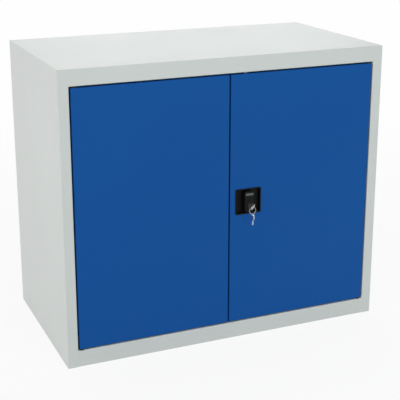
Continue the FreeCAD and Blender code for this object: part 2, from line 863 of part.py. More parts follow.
def rack_points(way):
    """A locking rod's outline about the lock's axis: way is 1 for the upper rod, -1 for the lower.

    The rack lies left of the pinion and the rod rises from it. The other rod is turned by half a turn.
    """
    module = value("tooth_module")
    pitch = math.pi * module
    line = -value("pitch_radius")
    slope = math.tan(math.radians(value("pressure_angle")))
    half = pitch / 4 - value("tooth_backlash") / 4
    tip, root = ADDENDUM_SHARE * module, DEDENDUM_SHARE * module
    back = line - root - value("rack_back")
    points = [(back, -(RACK_TEETH_BELOW) * pitch), (line - root, -(RACK_TEETH_BELOW) * pitch)]
    for tooth in range(-RACK_TEETH_BELOW, RACK_TEETH_ABOVE):
        middle = (tooth + 0.5) * pitch
        points += [
            (line - root, middle - half - root * slope),
            (line + tip, middle - half + tip * slope),
            (line + tip, middle + half - tip * slope),
            (line - root, middle + half + root * slope),
        ]
    shoulder = value("rack_end_rise")
    left = -value("rod_shift + rod_width / 2")
    right = left + value("rod_width")
    jog = shoulder + value("jog_height")
    reach = value("rod_high - lock_height") if way > 0 else value("lock_height - rod_low")
    bevel = value("rod_tip_chamfer")
    points += [
        (line - root, shoulder),
        (right, shoulder),
        (right, reach - bevel),
        (right - bevel, reach),
        (left + bevel, reach),
        (left, reach - bevel),
        (left, jog),
        (back, jog),
    ]
    return [(way * x, way * z) for x, z in points]


def locking_rod(label, way):
    """A flat rod with a rack cut in its inner end."""
    across, up = value("lock_across"), value("lock_height")
    points = [(across + x, up + z) for x, z in rack_points(way)]
    made = doc.addObject("Part::Feature", label)
    made.Shape = prism(points, value("gear_front"), value("gear_thickness"))
    return made


def gear_case():
    """The shallow case that holds the pinion and the two racks behind the dish."""
    made = body("gear_case")
    outline = lock_rectangle("case_half_width", "case_half_height")
    solid(made, "front", "dish_rear", "case_back - dish_rear", [outline])
    inner = lock_rectangle("case_half_width - case_sheet", "case_half_height - case_sheet")
    cut(made, "front", "dish_rear + case_sheet", "case_back - dish_rear", [inner])
    bore = [("lock_across", "lock_height", "spindle_bore")]
    cut(made, "front", "dish_rear - overrun", "case_sheet + 2 * overrun", circles=bore)
    left = "lock_across - case_half_width + case_sheet"
    right = "lock_across + case_half_width - case_sheet"
    ways = (
        (left, "lock_across + rod_shift", "lock_height + case_half_height - case_sheet - overrun"),
        ("lock_across - rod_shift", right, "lock_height - case_half_height - overrun"),
    )
    for start, end, height in ways:
        passage = rectangle(start, "dish_rear + case_sheet", end, "case_back + overrun")
        cut(made, "plan", height, "case_sheet + 2 * overrun", [passage])
    return made


def screw_places():
    """Where the cover's four screws stand, seen from the front."""
    half_width = "(case_half_width - cover_screw_inset)"
    half_height = "(case_half_height - cover_screw_inset)"
    return [
        (f"lock_across + {right} * {half_width}", f"lock_height + {up} * {half_height}")
        for right in (-1, 1)
        for up in (-1, 1)
    ]


def gear_cover():
    """The plate that closes the gear case, bored for the spindle and its screws."""
    made = body("gear_cover")
    plate = lock_rectangle("case_half_width", "case_half_height")
    solid(made, "front", "case_back", "cover_sheet", [plate])
    bores = [("lock_across", "lock_height", "spindle_bore")]
    bores += [(across, up, "cover_screw_radius") for across, up in screw_places()]
    cut(made, "front", "case_back - overrun", "cover_sheet + 2 * overrun", circles=bores)
    return made


def cover_screws():
    """The cover's four screws, each a head on a plain shank."""
    made = body("cover_screws")
    shanks = [(across, up, "cover_screw_radius") for across, up in screw_places()]
    heads = [(across, up, "cover_screw_head_radius") for across, up in screw_places()]
    solid(made, "front", "cover_back", "cover_screw_head", circles=heads)
    solid(made, "front", "case_back", "cover_sheet", circles=shanks)
    return made


def rod_guide(label, across, seat, way):
    """A nylon guide pressed into the door's edge, with the slot that a rod slides in."""
    made = body(label)
    seated = guide_seat(across)
    low = seat if way > 0 else f"{seat} - door_sheet"
    solid(made, "plan", low, "door_sheet", [seated])
    half = "(rod_width / 2 + guide_play + guide_wall)"
    outer = rectangle(
        f"{across} - {half}",
        "gear_front - guide_play - guide_wall",
        f"{across} + {half}",
        "gear_back + guide_play + guide_wall",
    )
    inside = f"{seat} + door_sheet" if way > 0 else f"{seat} - door_sheet - guide_height"
    solid(made, "plan", inside, "guide_height", [outer])
    half_slot = "(rod_width / 2 + guide_play)"
    slot = rectangle(
        f"{across} - {half_slot}",
        "gear_front - guide_play",
        f"{across} + {half_slot}",
        "gear_back + guide_play",
    )
    start = f"{seat} - overrun" if way > 0 else f"{seat} - door_sheet - guide_height - overrun"
    cut(made, "plan", start, "door_sheet + guide_height + 2 * overrun", [slot])
    return made


def latch_tongue():
    """The tongue that swings behind the other door's edge. Stowed, it hangs down from the spindle."""
    made = body("latch_tongue")
    half = "tongue_width / 2"
    arm = rectangle(
        f"lock_across - {half}",
        "lock_height - tongue_length",
        f"lock_across + {half}",
        f"lock_height + {half}",
    )
    solid(made, "front", "tongue_front", "tongue_sheet", [arm])
    corners = lock_corners(half, half)[:2] + lock_corners(half, "tongue_length")[2:]
    dress(made, "Chamfer", "tongue_corner", corners)
    bore = [("lock_across", "lock_height", "spindle_thread_radius")]
    cut(made, "front", "tongue_front - overrun", "tongue_sheet + 2 * overrun", circles=bore)
    return made


def spindle_nut():
    """The hexagon nut that holds the tongue on the spindle."""
    made = doc.addObject("Part::Feature", "spindle_nut")
    radius = value("spindle_nut_flats") / 2 / math.cos(math.pi / NUT_SIDES)
    across, up = value("lock_across"), value("lock_height")
    turns = [2 * math.pi * corner / NUT_SIDES for corner in range(NUT_SIDES)]
    points = [(across + radius * math.cos(turn), up + radius * math.sin(turn)) for turn in turns]
    start, end = value("tongue_back"), value("tongue_back + spindle_nut_height")
    block = prism(points, start, end - start)
    made.Shape = block.cut(drum(value("spindle_thread_radius"), start, end))
    return made


# Cylinder, keys and ring

def cylinder_sleeve():
    """The fixed sleeve of the lock cylinder in the handle."""
    made = body("cylinder_sleeve")
    circles = [
        ("lock_across", "cylinder_height", "sleeve_radius"),
        ("lock_across", "cylinder_height", "plug_radius + plug_clearance"),
    ]
    solid(made, "front", "bar_front", "plug_length", circles=circles)
    return made


def place_at_plug(thing):
    """Puts a piece drawn about the plug's axis at its place and turns it to where the key stands."""
    thing.Placement = FreeCAD.Placement(
        FreeCAD.Vector(), FreeCAD.Rotation(FreeCAD.Vector(0, 1, 0), value("key_turn"))
    )
    bind(thing, Placement__Base__x="lock_across", Placement__Base__z="cylinder_height")
    return thing


def lock_plug():
    """The plug that the key turns, with its keyway."""
    made = body("lock_plug")
    solid(made, "front", "bar_front", "plug_length", circles=[("0", "0", "plug_radius")])
    keyway = rectangle("-key_sheet / 2", "-key_blade_height / 2", "key_sheet / 2", "key_blade_height / 2")
    cut(made, "front", "bar_front - overrun", "plug_length + overrun", [keyway])
    return place_at_plug(made)


def lock_cam():
    """The cam on the plug's inner end, inside the handle."""
    made = body("lock_cam")
    cam = rectangle("-cam_half_width", "-cam_half_width", "cam_half_width", "cam_tail")
    solid(made, "front", "cam_face", "cam_sheet", [cam])
    return place_at_plug(made)


def key_outline():
    """A flat key seen from its side, about its bow's centre: a round bow with two flats, the blade to +Y."""
    bow, flat = value("key_bow_radius"), value("key_bow_flat")
    blade, tip = value("key_blade_height / 2"), value("key_tip_height / 2")
    end = value("key_bow_radius + key_neck + key_blade_length")
    bevel_start = end - value("key_tip_bevel")

    def on_bow(height, way=1):
        return way * math.sqrt(bow * bow - height * height), height

    def arc(*spots):
        return Part.Arc(*[FreeCAD.Vector(0, *spot) for spot in spots]).toShape()

    def lines(*spots):
        return list(Part.makePolygon([FreeCAD.Vector(0, *spot) for spot in spots]).Edges)

    middle = (flat + blade) / 2
    low_flat = lines(on_bow(-flat, -1), on_bow(-flat))
    corners = [(bevel_start, -blade), (end, -tip), (end, tip), (bevel_start, blade)]
    point = lines(on_bow(-blade), *corners, on_bow(blade))
    high_flat = lines(on_bow(flat), on_bow(flat, -1))
    low_shoulder = arc(on_bow(-flat), on_bow(-middle), on_bow(-blade))
    high_shoulder = arc(on_bow(blade), on_bow(middle), on_bow(flat))
    round_end = arc(on_bow(flat, -1), (-bow, 0), on_bow(-flat, -1))
    return low_flat + [low_shoulder] + point + [high_shoulder] + high_flat + [round_end]


def key_shape():
    """A flat key about its bow's centre, its blade along +Y and its thickness along X."""
    sheet = value("key_sheet")
    face = Part.Face(Part.Wire(key_outline()))
    blank = face.extrude(FreeCAD.Vector(sheet, 0, 0))
    blank.translate(FreeCAD.Vector(-sheet / 2, 0, 0))
    along = value("key_hole_inset - key_bow_radius")
    start = FreeCAD.Vector(-sheet, along, 0)
    hole = Part.makeCylinder(value("key_hole_radius"), 2 * sheet, start, FreeCAD.Vector(1, 0, 0))
    return blank.cut(hole)


def inserted_key():
    """The key in the plug, turned with it."""
    made = doc.addObject("Part::Feature", "inserted_key")
    made.Shape = key_shape()
    place_at_plug(made)
    bind(made, Placement__Base__y="bow_centre")
    return made


def spare_key():
    """The second key, which hangs from the ring with its blade down."""
    made = doc.addObject("Part::Feature", "spare_key")
    made.Shape = key_shape()
    made.Placement = FreeCAD.Placement(
        FreeCAD.Vector(), FreeCAD.Rotation(FreeCAD.Vector(1, 0, 0), -90)
    )
    bind(
        made,
        Placement__Base__x="lock_across",
        Placement__Base__y="key_hole_along",
        Placement__Base__z="spare_hole - key_bow_radius + key_hole_inset",
    )
    return made


def key_ring():
    """The wire ring that joins the two keys."""
    made = doc.addObject("Part::Torus", "key_ring")
    made.Placement = FreeCAD.Placement(
        FreeCAD.Vector(), FreeCAD.Rotation(FreeCAD.Vector(1, 0, 0), 90)
    )
    bind(
        made,
        Radius1="ring_radius",
        Radius2="ring_wire_radius",
        Placement__Base__x="lock_across",
        Placement__Base__y="key_hole_along",
        Placement__Base__z="ring_centre",
    )
    return made


def build():
    """Builds every piece and gives them in a list."""
    pieces = [
        side_panel("side_panel_left", -1),
        side_panel("side_panel_right", 1),
        top_panel(),
        stop_strip(),
        base_panel(),
        back_panel(),
        shelf_upright("shelf_upright_front_left", -1, "front_upright"),
        shelf_upright("shelf_upright_rear_left", -1, "rear_upright"),
        shelf_upright("shelf_upright_front_right", 1, "front_upright"),
        shelf_upright("shelf_upright_rear_right", 1, "rear_upright"),
        shelf("shelf_lower", "lower_tab"),
        shelf("shelf_upper", "upper_tab"),
        shelf_clips("shelf_clips_lower", "lower_tab"),
        shelf_clips("shelf_clips_upper", "upper_tab"),
        door_buffers(),
    ]
    for name, side in (("left", -1), ("right", 1)):
        pieces.append(door_panel(f"door_panel_{name}", side))
        pieces.append(door_stiffener(f"door_stiffener_{name}", side))
        for height, upper in (("lower", False), ("upper", True)):
            pieces.append(hinge_bush(f"hinge_bush_{height}_{name}", side, upper))
            pieces.append(hinge_pin(f"hinge_pin_{height}_{name}", side, upper))
    pieces += [
        lock_dish(),
        gear_case(),
        gear_cover(),
        cover_screws(),
        rod_guide("rod_guide_upper", "(lock_across - rod_shift)", "door_top", -1),
        rod_guide("rod_guide_lower", "(lock_across + rod_shift)", "door_low", 1),
        locking_rod("locking_rod_upper", 1),
        locking_rod("locking_rod_lower", -1),
        turn_handle(),
        blank_label(),
        pinion_spindle(),
        latch_tongue(),
        spindle_nut(),
        cylinder_sleeve(),
        lock_plug(),
        lock_cam(),
        inserted_key(),
        key_ring(),
        spare_key(),
    ]
    doc.recompute()
    return pieces


def check_document(pieces):
    """Stops if any object failed or any piece is null or not valid."""
    for thing in doc.Objects:
        if "Invalid" in thing.State or "Error" in thing.State:
            raise RuntimeError(f"{thing.Label} failed: {thing.State}")
    for piece in pieces:
        if piece.Shape.isNull() or not piece.Shape.isValid() or not piece.Shape.Solids:
            raise RuntimeError(f"{piece.Label} has no valid shape")


def main():
    """Fills the sheets, builds the cabinet and writes one STEP file for each piece."""
    fill_sheets()
    pieces = build()
    check_document(pieces)
    os.makedirs("parts", exist_ok=True)
    for piece in pieces:
        piece.Shape.exportStep(f"parts/{piece.Label}.step")
        print(piece.Label, len(piece.Shape.Solids), round(piece.Shape.Volume, 1))


main()
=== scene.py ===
import logging
import math
from dataclasses import dataclass
from enum import Enum
from functools import cache
from typing import Callable, Sequence

import bmesh
import bpy
from bmesh.types import BMesh
from bpy.types import ID, Material, Mesh, Node, NodeTree, Object
from mathutils import Matrix, Vector


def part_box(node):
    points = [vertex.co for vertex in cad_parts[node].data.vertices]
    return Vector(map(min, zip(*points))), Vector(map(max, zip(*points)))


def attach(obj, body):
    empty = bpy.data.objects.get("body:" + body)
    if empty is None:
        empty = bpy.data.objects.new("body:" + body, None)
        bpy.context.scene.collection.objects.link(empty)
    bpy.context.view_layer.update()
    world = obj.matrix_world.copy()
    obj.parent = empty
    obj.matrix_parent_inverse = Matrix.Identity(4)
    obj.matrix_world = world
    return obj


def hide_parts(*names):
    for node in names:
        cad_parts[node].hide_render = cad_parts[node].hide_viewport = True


# A light grey steel cabinet with two blue doors, a black lock plate with its turning bar, and two keys
# on a ring. Metres, +Z up, the doors face -Y.

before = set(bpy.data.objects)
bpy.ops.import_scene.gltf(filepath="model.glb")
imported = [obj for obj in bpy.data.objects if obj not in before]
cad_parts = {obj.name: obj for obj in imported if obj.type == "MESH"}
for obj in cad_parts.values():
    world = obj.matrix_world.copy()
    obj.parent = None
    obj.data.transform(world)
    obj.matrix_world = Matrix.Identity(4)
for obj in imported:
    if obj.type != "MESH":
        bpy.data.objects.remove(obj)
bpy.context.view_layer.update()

LOG = logging.getLogger("cabinet")

Point = tuple[float, float, float]
Colour = tuple[float, float, float, float]
Span = tuple[float, float]
Outline = Sequence[Span]
Output = tuple[Node, str]

# Lengths in metres, angles in degrees.
TINY = 1e-6
CLOSE = 1e-5
OCTAVES = 3.0
FEW_OCTAVES = 2.0
RAMP: Span = (0.3, 0.7)
FOLD_ANGLE = 35.0
SHADE_ANGLE = 45.0
FLAT_ANGLE = 1.0
FACE_WEIGHT = 100
ROUND = 0.5


def linear(red: int, green: int, blue: int) -> Colour:
    """A colour written as a screen shows it, turned into the linear one that shaders take.

    Args:
        red: Red from 0 to 255.
        green: Green from 0 to 255.
        blue: Blue from 0 to 255.

    Returns:
        The linear colour with full alpha.
    """

    def one(level: int) -> float:
        """One channel of it."""
        share = level / 255
        return share / 12.92 if share <= 0.04045 else ((share + 0.055) / 1.055) ** 2.4

    return one(red), one(green), one(blue), 1.0


# Finishes


class Wiring:
    """Adds and joins the nodes of one node tree."""

    def __init__(self, tree: NodeTree) -> None:
        """Empties the tree."""
        self.tree = tree
        self.tree.nodes.clear()

    def add(self, kind: str, **inputs: object) -> Node:
        """Adds a node and sets or joins its inputs.

        Args:
            kind: The node's type.
            inputs: A value or an output for each input, with underscores for the spaces in its name.

        Returns:
            The new node.
        """
        node = self.tree.nodes.new(kind)
        for name, value in inputs.items():
            socket = name.replace("_", " ")
            if isinstance(value, tuple) and isinstance(value[0], Node):
                self.join(*value, node, socket)
            else:
                node.inputs[socket].default_value = value
        return node

    def join(self, start: Node, output: str, end: Node, socket: str | int) -> None:
        """Joins an output of one node to an input of another."""
        self.tree.links.new(start.outputs[output], end.inputs[socket])


class Nodes(Wiring):
    """The nodes of one material: an output, a Principled shader and the patterns that move it."""

    def __init__(self, name: str, **looks: float) -> None:
        """Makes the material with its output and shader.

        Args:
            name: The material's name.
            looks: Values of the shader's inputs.
        """
        self.material = bpy.data.materials.new(name)
        self.material.use_nodes = True
        super().__init__(self.material.node_tree)
        output = self.add("ShaderNodeOutputMaterial")
        self.shader = self.add("ShaderNodeBsdfPrincipled", **looks)
        self.join(self.shader, "BSDF", output, "Surface")
        self.coordinates = self.add("ShaderNodeTexCoord")

    def noise(self, scale: float, detail: float = FEW_OCTAVES, stretch: Point | None = None) -> Output:
        """A noise on Object coordinates.

        Args:
            scale: Waves per metre.
            detail: Octaves of finer noise.
            stretch: Factors on the three coordinates, for brushed or drawn looks.

        Returns:
            The noise.
        """
        place = (self.coordinates, "Object")
        if stretch is not None:
            place = (self.add("ShaderNodeMapping", Vector=place, Scale=stretch), "Vector")
        return self.add("ShaderNodeTexNoise", Vector=place, Scale=scale, Detail=detail), "Fac"

    def roughen(self, source: Output, level: float, reach: Span) -> None:
        """Lets a pattern move the roughness a little below and above its level."""
        low, high = (level + step for step in reach)
        spread = self.add("ShaderNodeMapRange", Value=source, To_Min=low, To_Max=high)
        self.join(spread, "Result", self.shader, "Roughness")

    def tint(self, source: Output, colour: Colour, shades: Span) -> None:
        """Lets a pattern move the base colour.

        Args:
            source: The pattern.
            colour: The colour.
            shades: The factors on it that give its darkest and its lightest shade.
        """
        ramp = self.add("ShaderNodeValToRGB", Fac=source)
        for element, position, factor in zip(ramp.color_ramp.elements, RAMP, shades):
            element.position = position
            element.color = shade(colour, factor)
        self.join(ramp, "Color", self.shader, "Base Color")

    def bump(self, *layers: tuple[Output, float, float]) -> None:
        """Stacks bumps and leads them to the shader.

        Args:
            layers: For each bump its pattern, its strength and its depth in metres.
        """
        before = None
        for source, strength, depth in layers:
            bump = self.add("ShaderNodeBump", Height=source, Strength=strength, Distance=depth)
            if before is not None:
                self.join(before, "Normal", bump, "Normal")
            before = bump
        self.join(before, "Normal", self.shader, "Normal")


def shade(colour: Colour, factor: float) -> Colour:
    """The colour made lighter or darker by a factor."""
    return colour[0] * factor, colour[1] * factor, colour[2] * factor, colour[3]


@dataclass(frozen=True)
class PowderCoat:
    """Stoved powder paint: a fine orange peel, an even sheen and faint cloudiness."""

    name: str
    slot: str
    colour: Colour
    gloss: float = 0.45
    peel: float = 0.18
    shine: float = 0.35
    index: float = 1.5
    shades: Span = (0.975, 1.02)
    sheen: Span = (-0.04, 0.05)
    cloud_waves: float = 2.3
    sheen_waves: float = 9.0
    peel_waves: float = 420.0
    grain_waves: float = 1500.0
    grain_octaves: float = 1.0
    peel_depth: float = 0.0002
    grain_depth: float = 0.00004

    def material(self) -> Material:
        """Builds the paint.

        Returns:
            The material.
        """
        nodes = Nodes(self.name, IOR=self.index, Specular_IOR_Level=self.shine)
        nodes.tint(nodes.noise(self.cloud_waves, OCTAVES), self.colour, self.shades)
        nodes.roughen(nodes.noise(self.sheen_waves, OCTAVES), self.gloss, self.sheen)
        nodes.bump(
            (nodes.noise(self.peel_waves), self.peel, self.peel_depth),
            (nodes.noise(self.grain_waves, self.grain_octaves), self.peel, self.grain_depth),
        )
        return nodes.material


@dataclass(frozen=True)
class PlatedSteel:
    """Plated steel with a drawn grain and the faint spangle of the bath."""

    name: str
    slot: str
    colour: Colour
    dull: float = 0.36
    drawn: Point = (1.0, 1.0, 0.04)
    grain: float = 0.12
    shades: Span = (0.93, 1.03)
    sheen: Span = (-0.07, 0.1)
    spangle_waves: float = 260.0
    grain_waves: float = 1800.0
    grain_depth: float = 0.00005

    def material(self) -> Material:
        """Builds the plating.

        Returns:
            The material.
        """
        nodes = Nodes(self.name, Metallic=1.0)
        place = (nodes.coordinates, "Object")
        spangle = nodes.add("ShaderNodeTexVoronoi", Vector=place, Scale=self.spangle_waves)
        grain = nodes.noise(self.grain_waves, OCTAVES, self.drawn)
        nodes.tint((spangle, "Distance"), self.colour, self.shades)
        nodes.roughen(grain, self.dull, self.sheen)
        nodes.bump((grain, self.grain, self.grain_depth))
        return nodes.material


@dataclass(frozen=True)
class Moulded:
    """Moulded plastic or rubber with the fine grain of an eroded mould."""

    name: str
    slot: str
    colour: Colour
    dull: float = 0.42
    grain: float = 0.25
    shine: float = 0.3
    index: float = 1.49
    shades: Span = (0.85, 1.15)
    sheen: Span = (-0.06, 0.08)
    tint_waves: float = 60.0
    sheen_waves: float = 300.0
    grain_waves: float = 2600.0
    grain_depth: float = 0.00005

    def material(self) -> Material:
        """Builds the plastic.

        Returns:
            The material.
        """
        nodes = Nodes(self.name, IOR=self.index, Specular_IOR_Level=self.shine)
        nodes.tint(nodes.noise(self.tint_waves, OCTAVES), self.colour, self.shades)
        nodes.roughen(nodes.noise(self.sheen_waves, OCTAVES), self.dull, self.sheen)
        nodes.bump((nodes.noise(self.grain_waves), self.grain, self.grain_depth))
        return nodes.material


class Finish(Enum):
    """Every finish on the cabinet."""

    FRAME_GREY = PowderCoat("light_grey_powder_coat", "carcass_grey", linear(206, 212, 209))
    INNER_GREY = PowderCoat("inner_grey_powder_coat", "inner_grey", linear(206, 212, 209))
    DOOR_BLUE = PowderCoat(
        "gentian_blue_powder_coat", "door_blue", linear(12, 82, 155), gloss=0.42, peel=0.14, shine=0.11
    )
    ZINC = PlatedSteel("zinc_plated_steel", "zinc_steel", linear(196, 200, 204))
    NICKEL = PlatedSteel(
        "nickel_plated_key_steel", "key_steel", linear(228, 228, 226), dull=0.3, drawn=(1.0, 1.0, 1.0)
    )
    BLACKENED = PlatedSteel("blackened_lock_steel", "key_steel", linear(58, 58, 60), dull=0.4)
    BLACK_PLASTIC = Moulded(
        "black_moulded_plastic", "lock_black", linear(11, 11, 12), dull=0.5, grain=0.25, shine=0.14
    )
    BARE_LABEL = Moulded(
        "bare_grey_insert", "label_grey", linear(84, 92, 89), dull=0.55, grain=0.1, shine=0.2
    )
    NYLON = Moulded("black_nylon", "guide_nylon", linear(24, 24, 25), dull=0.4, grain=0.1)
    RUBBER = Moulded("black_rubber", "buffer_rubber", linear(30, 30, 31), dull=0.7, grain=0.3)


@cache
def finish_of(kind: Finish) -> Material:
    """The material of a finish, made once."""
    return kind.value.material()


# Meshes


def finished(work: BMesh, name: str) -> Mesh:
    """Ends the work on a mesh.

    Args:
        work: The work, which is freed.
        name: The new mesh's name.

    Returns:
        The new mesh.
    """
    mesh = bpy.data.meshes.new(name)
    work.to_mesh(mesh)
    work.free()
    return mesh


def placed(name: str, data: ID) -> Object:
    """Puts a new object in the scene.

    Args:
        name: Its name.
        data: The mesh, curve, light or camera that it holds.

    Returns:
        The new object.
    """
    made = bpy.data.objects.new(name, data)
    bpy.context.scene.collection.objects.link(made)
    return made


def coat(mesh: Mesh, finish: Finish) -> None:
    """Gives a mesh one finish all over.

    Args:
        mesh: The mesh.
        finish: What it is made of.
    """
    mesh.materials.clear()
    mesh.materials.append(finish_of(finish))
    for face in mesh.polygons:
        face.material_index = 0


def piece(name: str, mesh: Mesh, finish: Finish) -> Object:
    """Puts a finished mesh in the scene at the origin with its finish.

    Args:
        name: The piece's name.
        mesh: Its mesh, in place.
        finish: What it is made of.

    Returns:
        The new object.
    """
    mesh.name = name
    coat(mesh, finish)
    made = placed(name, mesh)
    return made


def settle(made: Object) -> Object:
    """Turns a piece with modifiers into a plain mesh and takes the modifiers off.

    Args:
        made: The piece.

    Returns:
        The same piece.
    """
    graph = bpy.context.evaluated_depsgraph_get()
    whole = made.evaluated_get(graph)
    mesh = bpy.data.meshes.new_from_object(whole, preserve_all_data_layers=True, depsgraph=graph)
    mesh.name = made.data.name
    made.modifiers.clear()
    made.data = mesh
    return made


def bevelled(made: Object, width: float, steps: int) -> None:
    """Adds a rounding to every sharp edge of a piece.

    Args:
        made: The piece.
        width: How far the rounding reaches, in metres.
        steps: Segments across the rounding.
    """
    bevel = made.modifiers.new("rounding", "BEVEL")
    bevel.width = width
    bevel.segments = steps
    bevel.limit_method = "ANGLE"
    bevel.angle_limit = math.radians(FOLD_ANGLE)


def soften(made: Object, width: float, steps: int = 2) -> Object:
    """Rounds every sharp edge a little and shades the rest smooth.

    Args:
        made: The piece.
        width: How far the rounding reaches, in metres.
        steps: Segments across the rounding.

    Returns:
        The same piece, its mesh now plain.
    """
    bevelled(made, width, steps)
    settle(made)
    mend(made.data)
    return smooth(made, SHADE_ANGLE)


def thicken(made: Object, sheet: float) -> None:
    """Gives folded faces the thickness of their sheet.

    Args:
        made: The piece, whose faces turn to the outside of its folds.
        sheet: The thickness, which goes inwards.
    """
    thick = made.modifiers.new("sheet", "SOLIDIFY")
    thick.thickness = sheet
    thick.offset = -1
    thick.use_even_offset = True
    settle(made)


def cut_away(made: Object, shapes: Mesh) -> None:
    """Cuts shapes out of a piece.

    Args:
        made: The piece.
        shapes: One mesh with all that is cut out.
    """
    cutter = placed("cutter", shapes)
    cut = made.modifiers.new("cuts", "BOOLEAN")
    cut.operation = "DIFFERENCE"
    cut.solver = "EXACT"
    cut.object = cutter
    settle(made)
    bpy.data.objects.remove(cutter)


def mend(mesh: Mesh) -> None:
    """Joins doubled corners, takes out faces without area and closes holes of up to four sides.

    Args:
        mesh: The mesh to change.
    """
    work = bmesh.new()
    work.from_mesh(mesh)
    bmesh.ops.remove_doubles(work, verts=work.verts, dist=TINY)
    bmesh.ops.dissolve_degenerate(work, dist=TINY, edges=work.edges)
    bmesh.ops.holes_fill(work, edges=[edge for edge in work.edges if edge.is_boundary], sides=4)
    work.to_mesh(mesh)
    work.free()


def smooth(made: Object, angle: float) -> Object:
    """Shades a piece smooth up to an angle, with its large flat faces kept flat to the eye.

    Args:
        made: The piece.
        angle: Edges sharper than this in degrees stay sharp.

    Returns:
        The same piece.
    """
    made.data.shade_smooth()
    made.data.set_sharp_from_angle(angle=math.radians(angle))
    flat = made.modifiers.new("flat_faces", "WEIGHTED_NORMAL")
    flat.weight = FACE_WEIGHT
    flat.keep_sharp = True
    return settle(made)


def clean_copy(node: str) -> Mesh:
    """A mesh with the shape of a CAD node, flat faces joined up again.

    Args:
        node: The node's name.

    Returns:
        The mesh.
    """
    work = bmesh.new()
    work.from_mesh(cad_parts[node].data)
    bmesh.ops.remove_doubles(work, verts=work.verts, dist=TINY)
    flat = math.radians(FLAT_ANGLE)
    bmesh.ops.dissolve_limit(work, angle_limit=flat, verts=work.verts, edges=work.edges)
    return finished(work, "copy")


def rounded_edges(
    mesh: Mesh, width: float, steps: int, chosen: Callable[[Vector, Vector], bool]
) -> None:
    """Rounds those edges of a mesh whose two ends pass a test.

    Args:
        mesh: The mesh to change.
        width: How far the rounding reaches, in metres.
        steps: Segments across it.
        chosen: Given an edge's two ends, whether it is rounded.
    """
    work = bmesh.new()
    work.from_mesh(mesh)
    edges = [edge for edge in work.edges if chosen(edge.verts[0].co, edge.verts[1].co)]
    shape = {"affect": "EDGES", "profile": ROUND, "clamp_overlap": True}
    bmesh.ops.bevel(work, geom=edges, offset=width, segments=steps, **shape)
    work.to_mesh(mesh)
    work.free()


def dressed_node(name: str, body: str, finish: Finish, width: float, node: str) -> None:
    """Makes a piece with the shape of a CAD node and softened edges, in its place.

    Args:
        name: The piece's name.
        body: The body it rides on.
        finish: What it is made of.
        width: How far its edges are rounded, in metres.
        node: The CAD node it stands for.
    """
    made = soften(piece(name, clean_copy(node), finish), width)
    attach(made, body)
    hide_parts(node)
    LOG.info("%s stands for %s", name, node)


def wall(start: Span, end: Span, low: float, high: float) -> list[Point]:
    """The corners of an upright face between two points of the plan."""
    return [(*start, low), (*end, low), (*end, high), (*start, high)]


def deck(x: Span, y: Span, z: float) -> list[Point]:
    """The corners of a level face over a stretch of X and one of Y."""
    return [(x[0], y[0], z), (x[1], y[0], z), (x[1], y[1], z), (x[0], y[1], z)]


def add_faces(work: BMesh, faces: Sequence[Sequence[Point]], join: float) -> None:
    """Adds faces to a mesh and joins them.

    Args:
        work: The work on the mesh.
        faces: The corners of each face.
        join: Corners closer than this become one.
    """
    for corners in faces:
        work.faces.new([work.verts.new(corner) for corner in corners])
    bmesh.ops.remove_doubles(work, verts=work.verts, dist=join)


def extruded(
    outline: Outline, thickness: float, place: Callable[[float, float, float], Point]
) -> Mesh:
    """A flat plate from its outline.

    Args:
        outline: The corners of the outline.
        thickness: The plate's thickness.
        place: Turns an outline point and a height over the plate's middle into a place.

    Returns:
        The plate's mesh.
    """
    work = bmesh.new()
    half = thickness / 2
    top = [work.verts.new(place(across, along, half)) for across, along in outline]
    low = [work.verts.new(place(across, along, -half)) for across, along in outline]
    work.faces.new(top)
    work.faces.new(low[::-1])
    for index in range(len(outline)):
        after = (index + 1) % len(outline)
        work.faces.new([top[index], low[index], low[after], top[after]])
    bmesh.ops.recalc_face_normals(work, faces=work.faces)
    return finished(work, "plate")


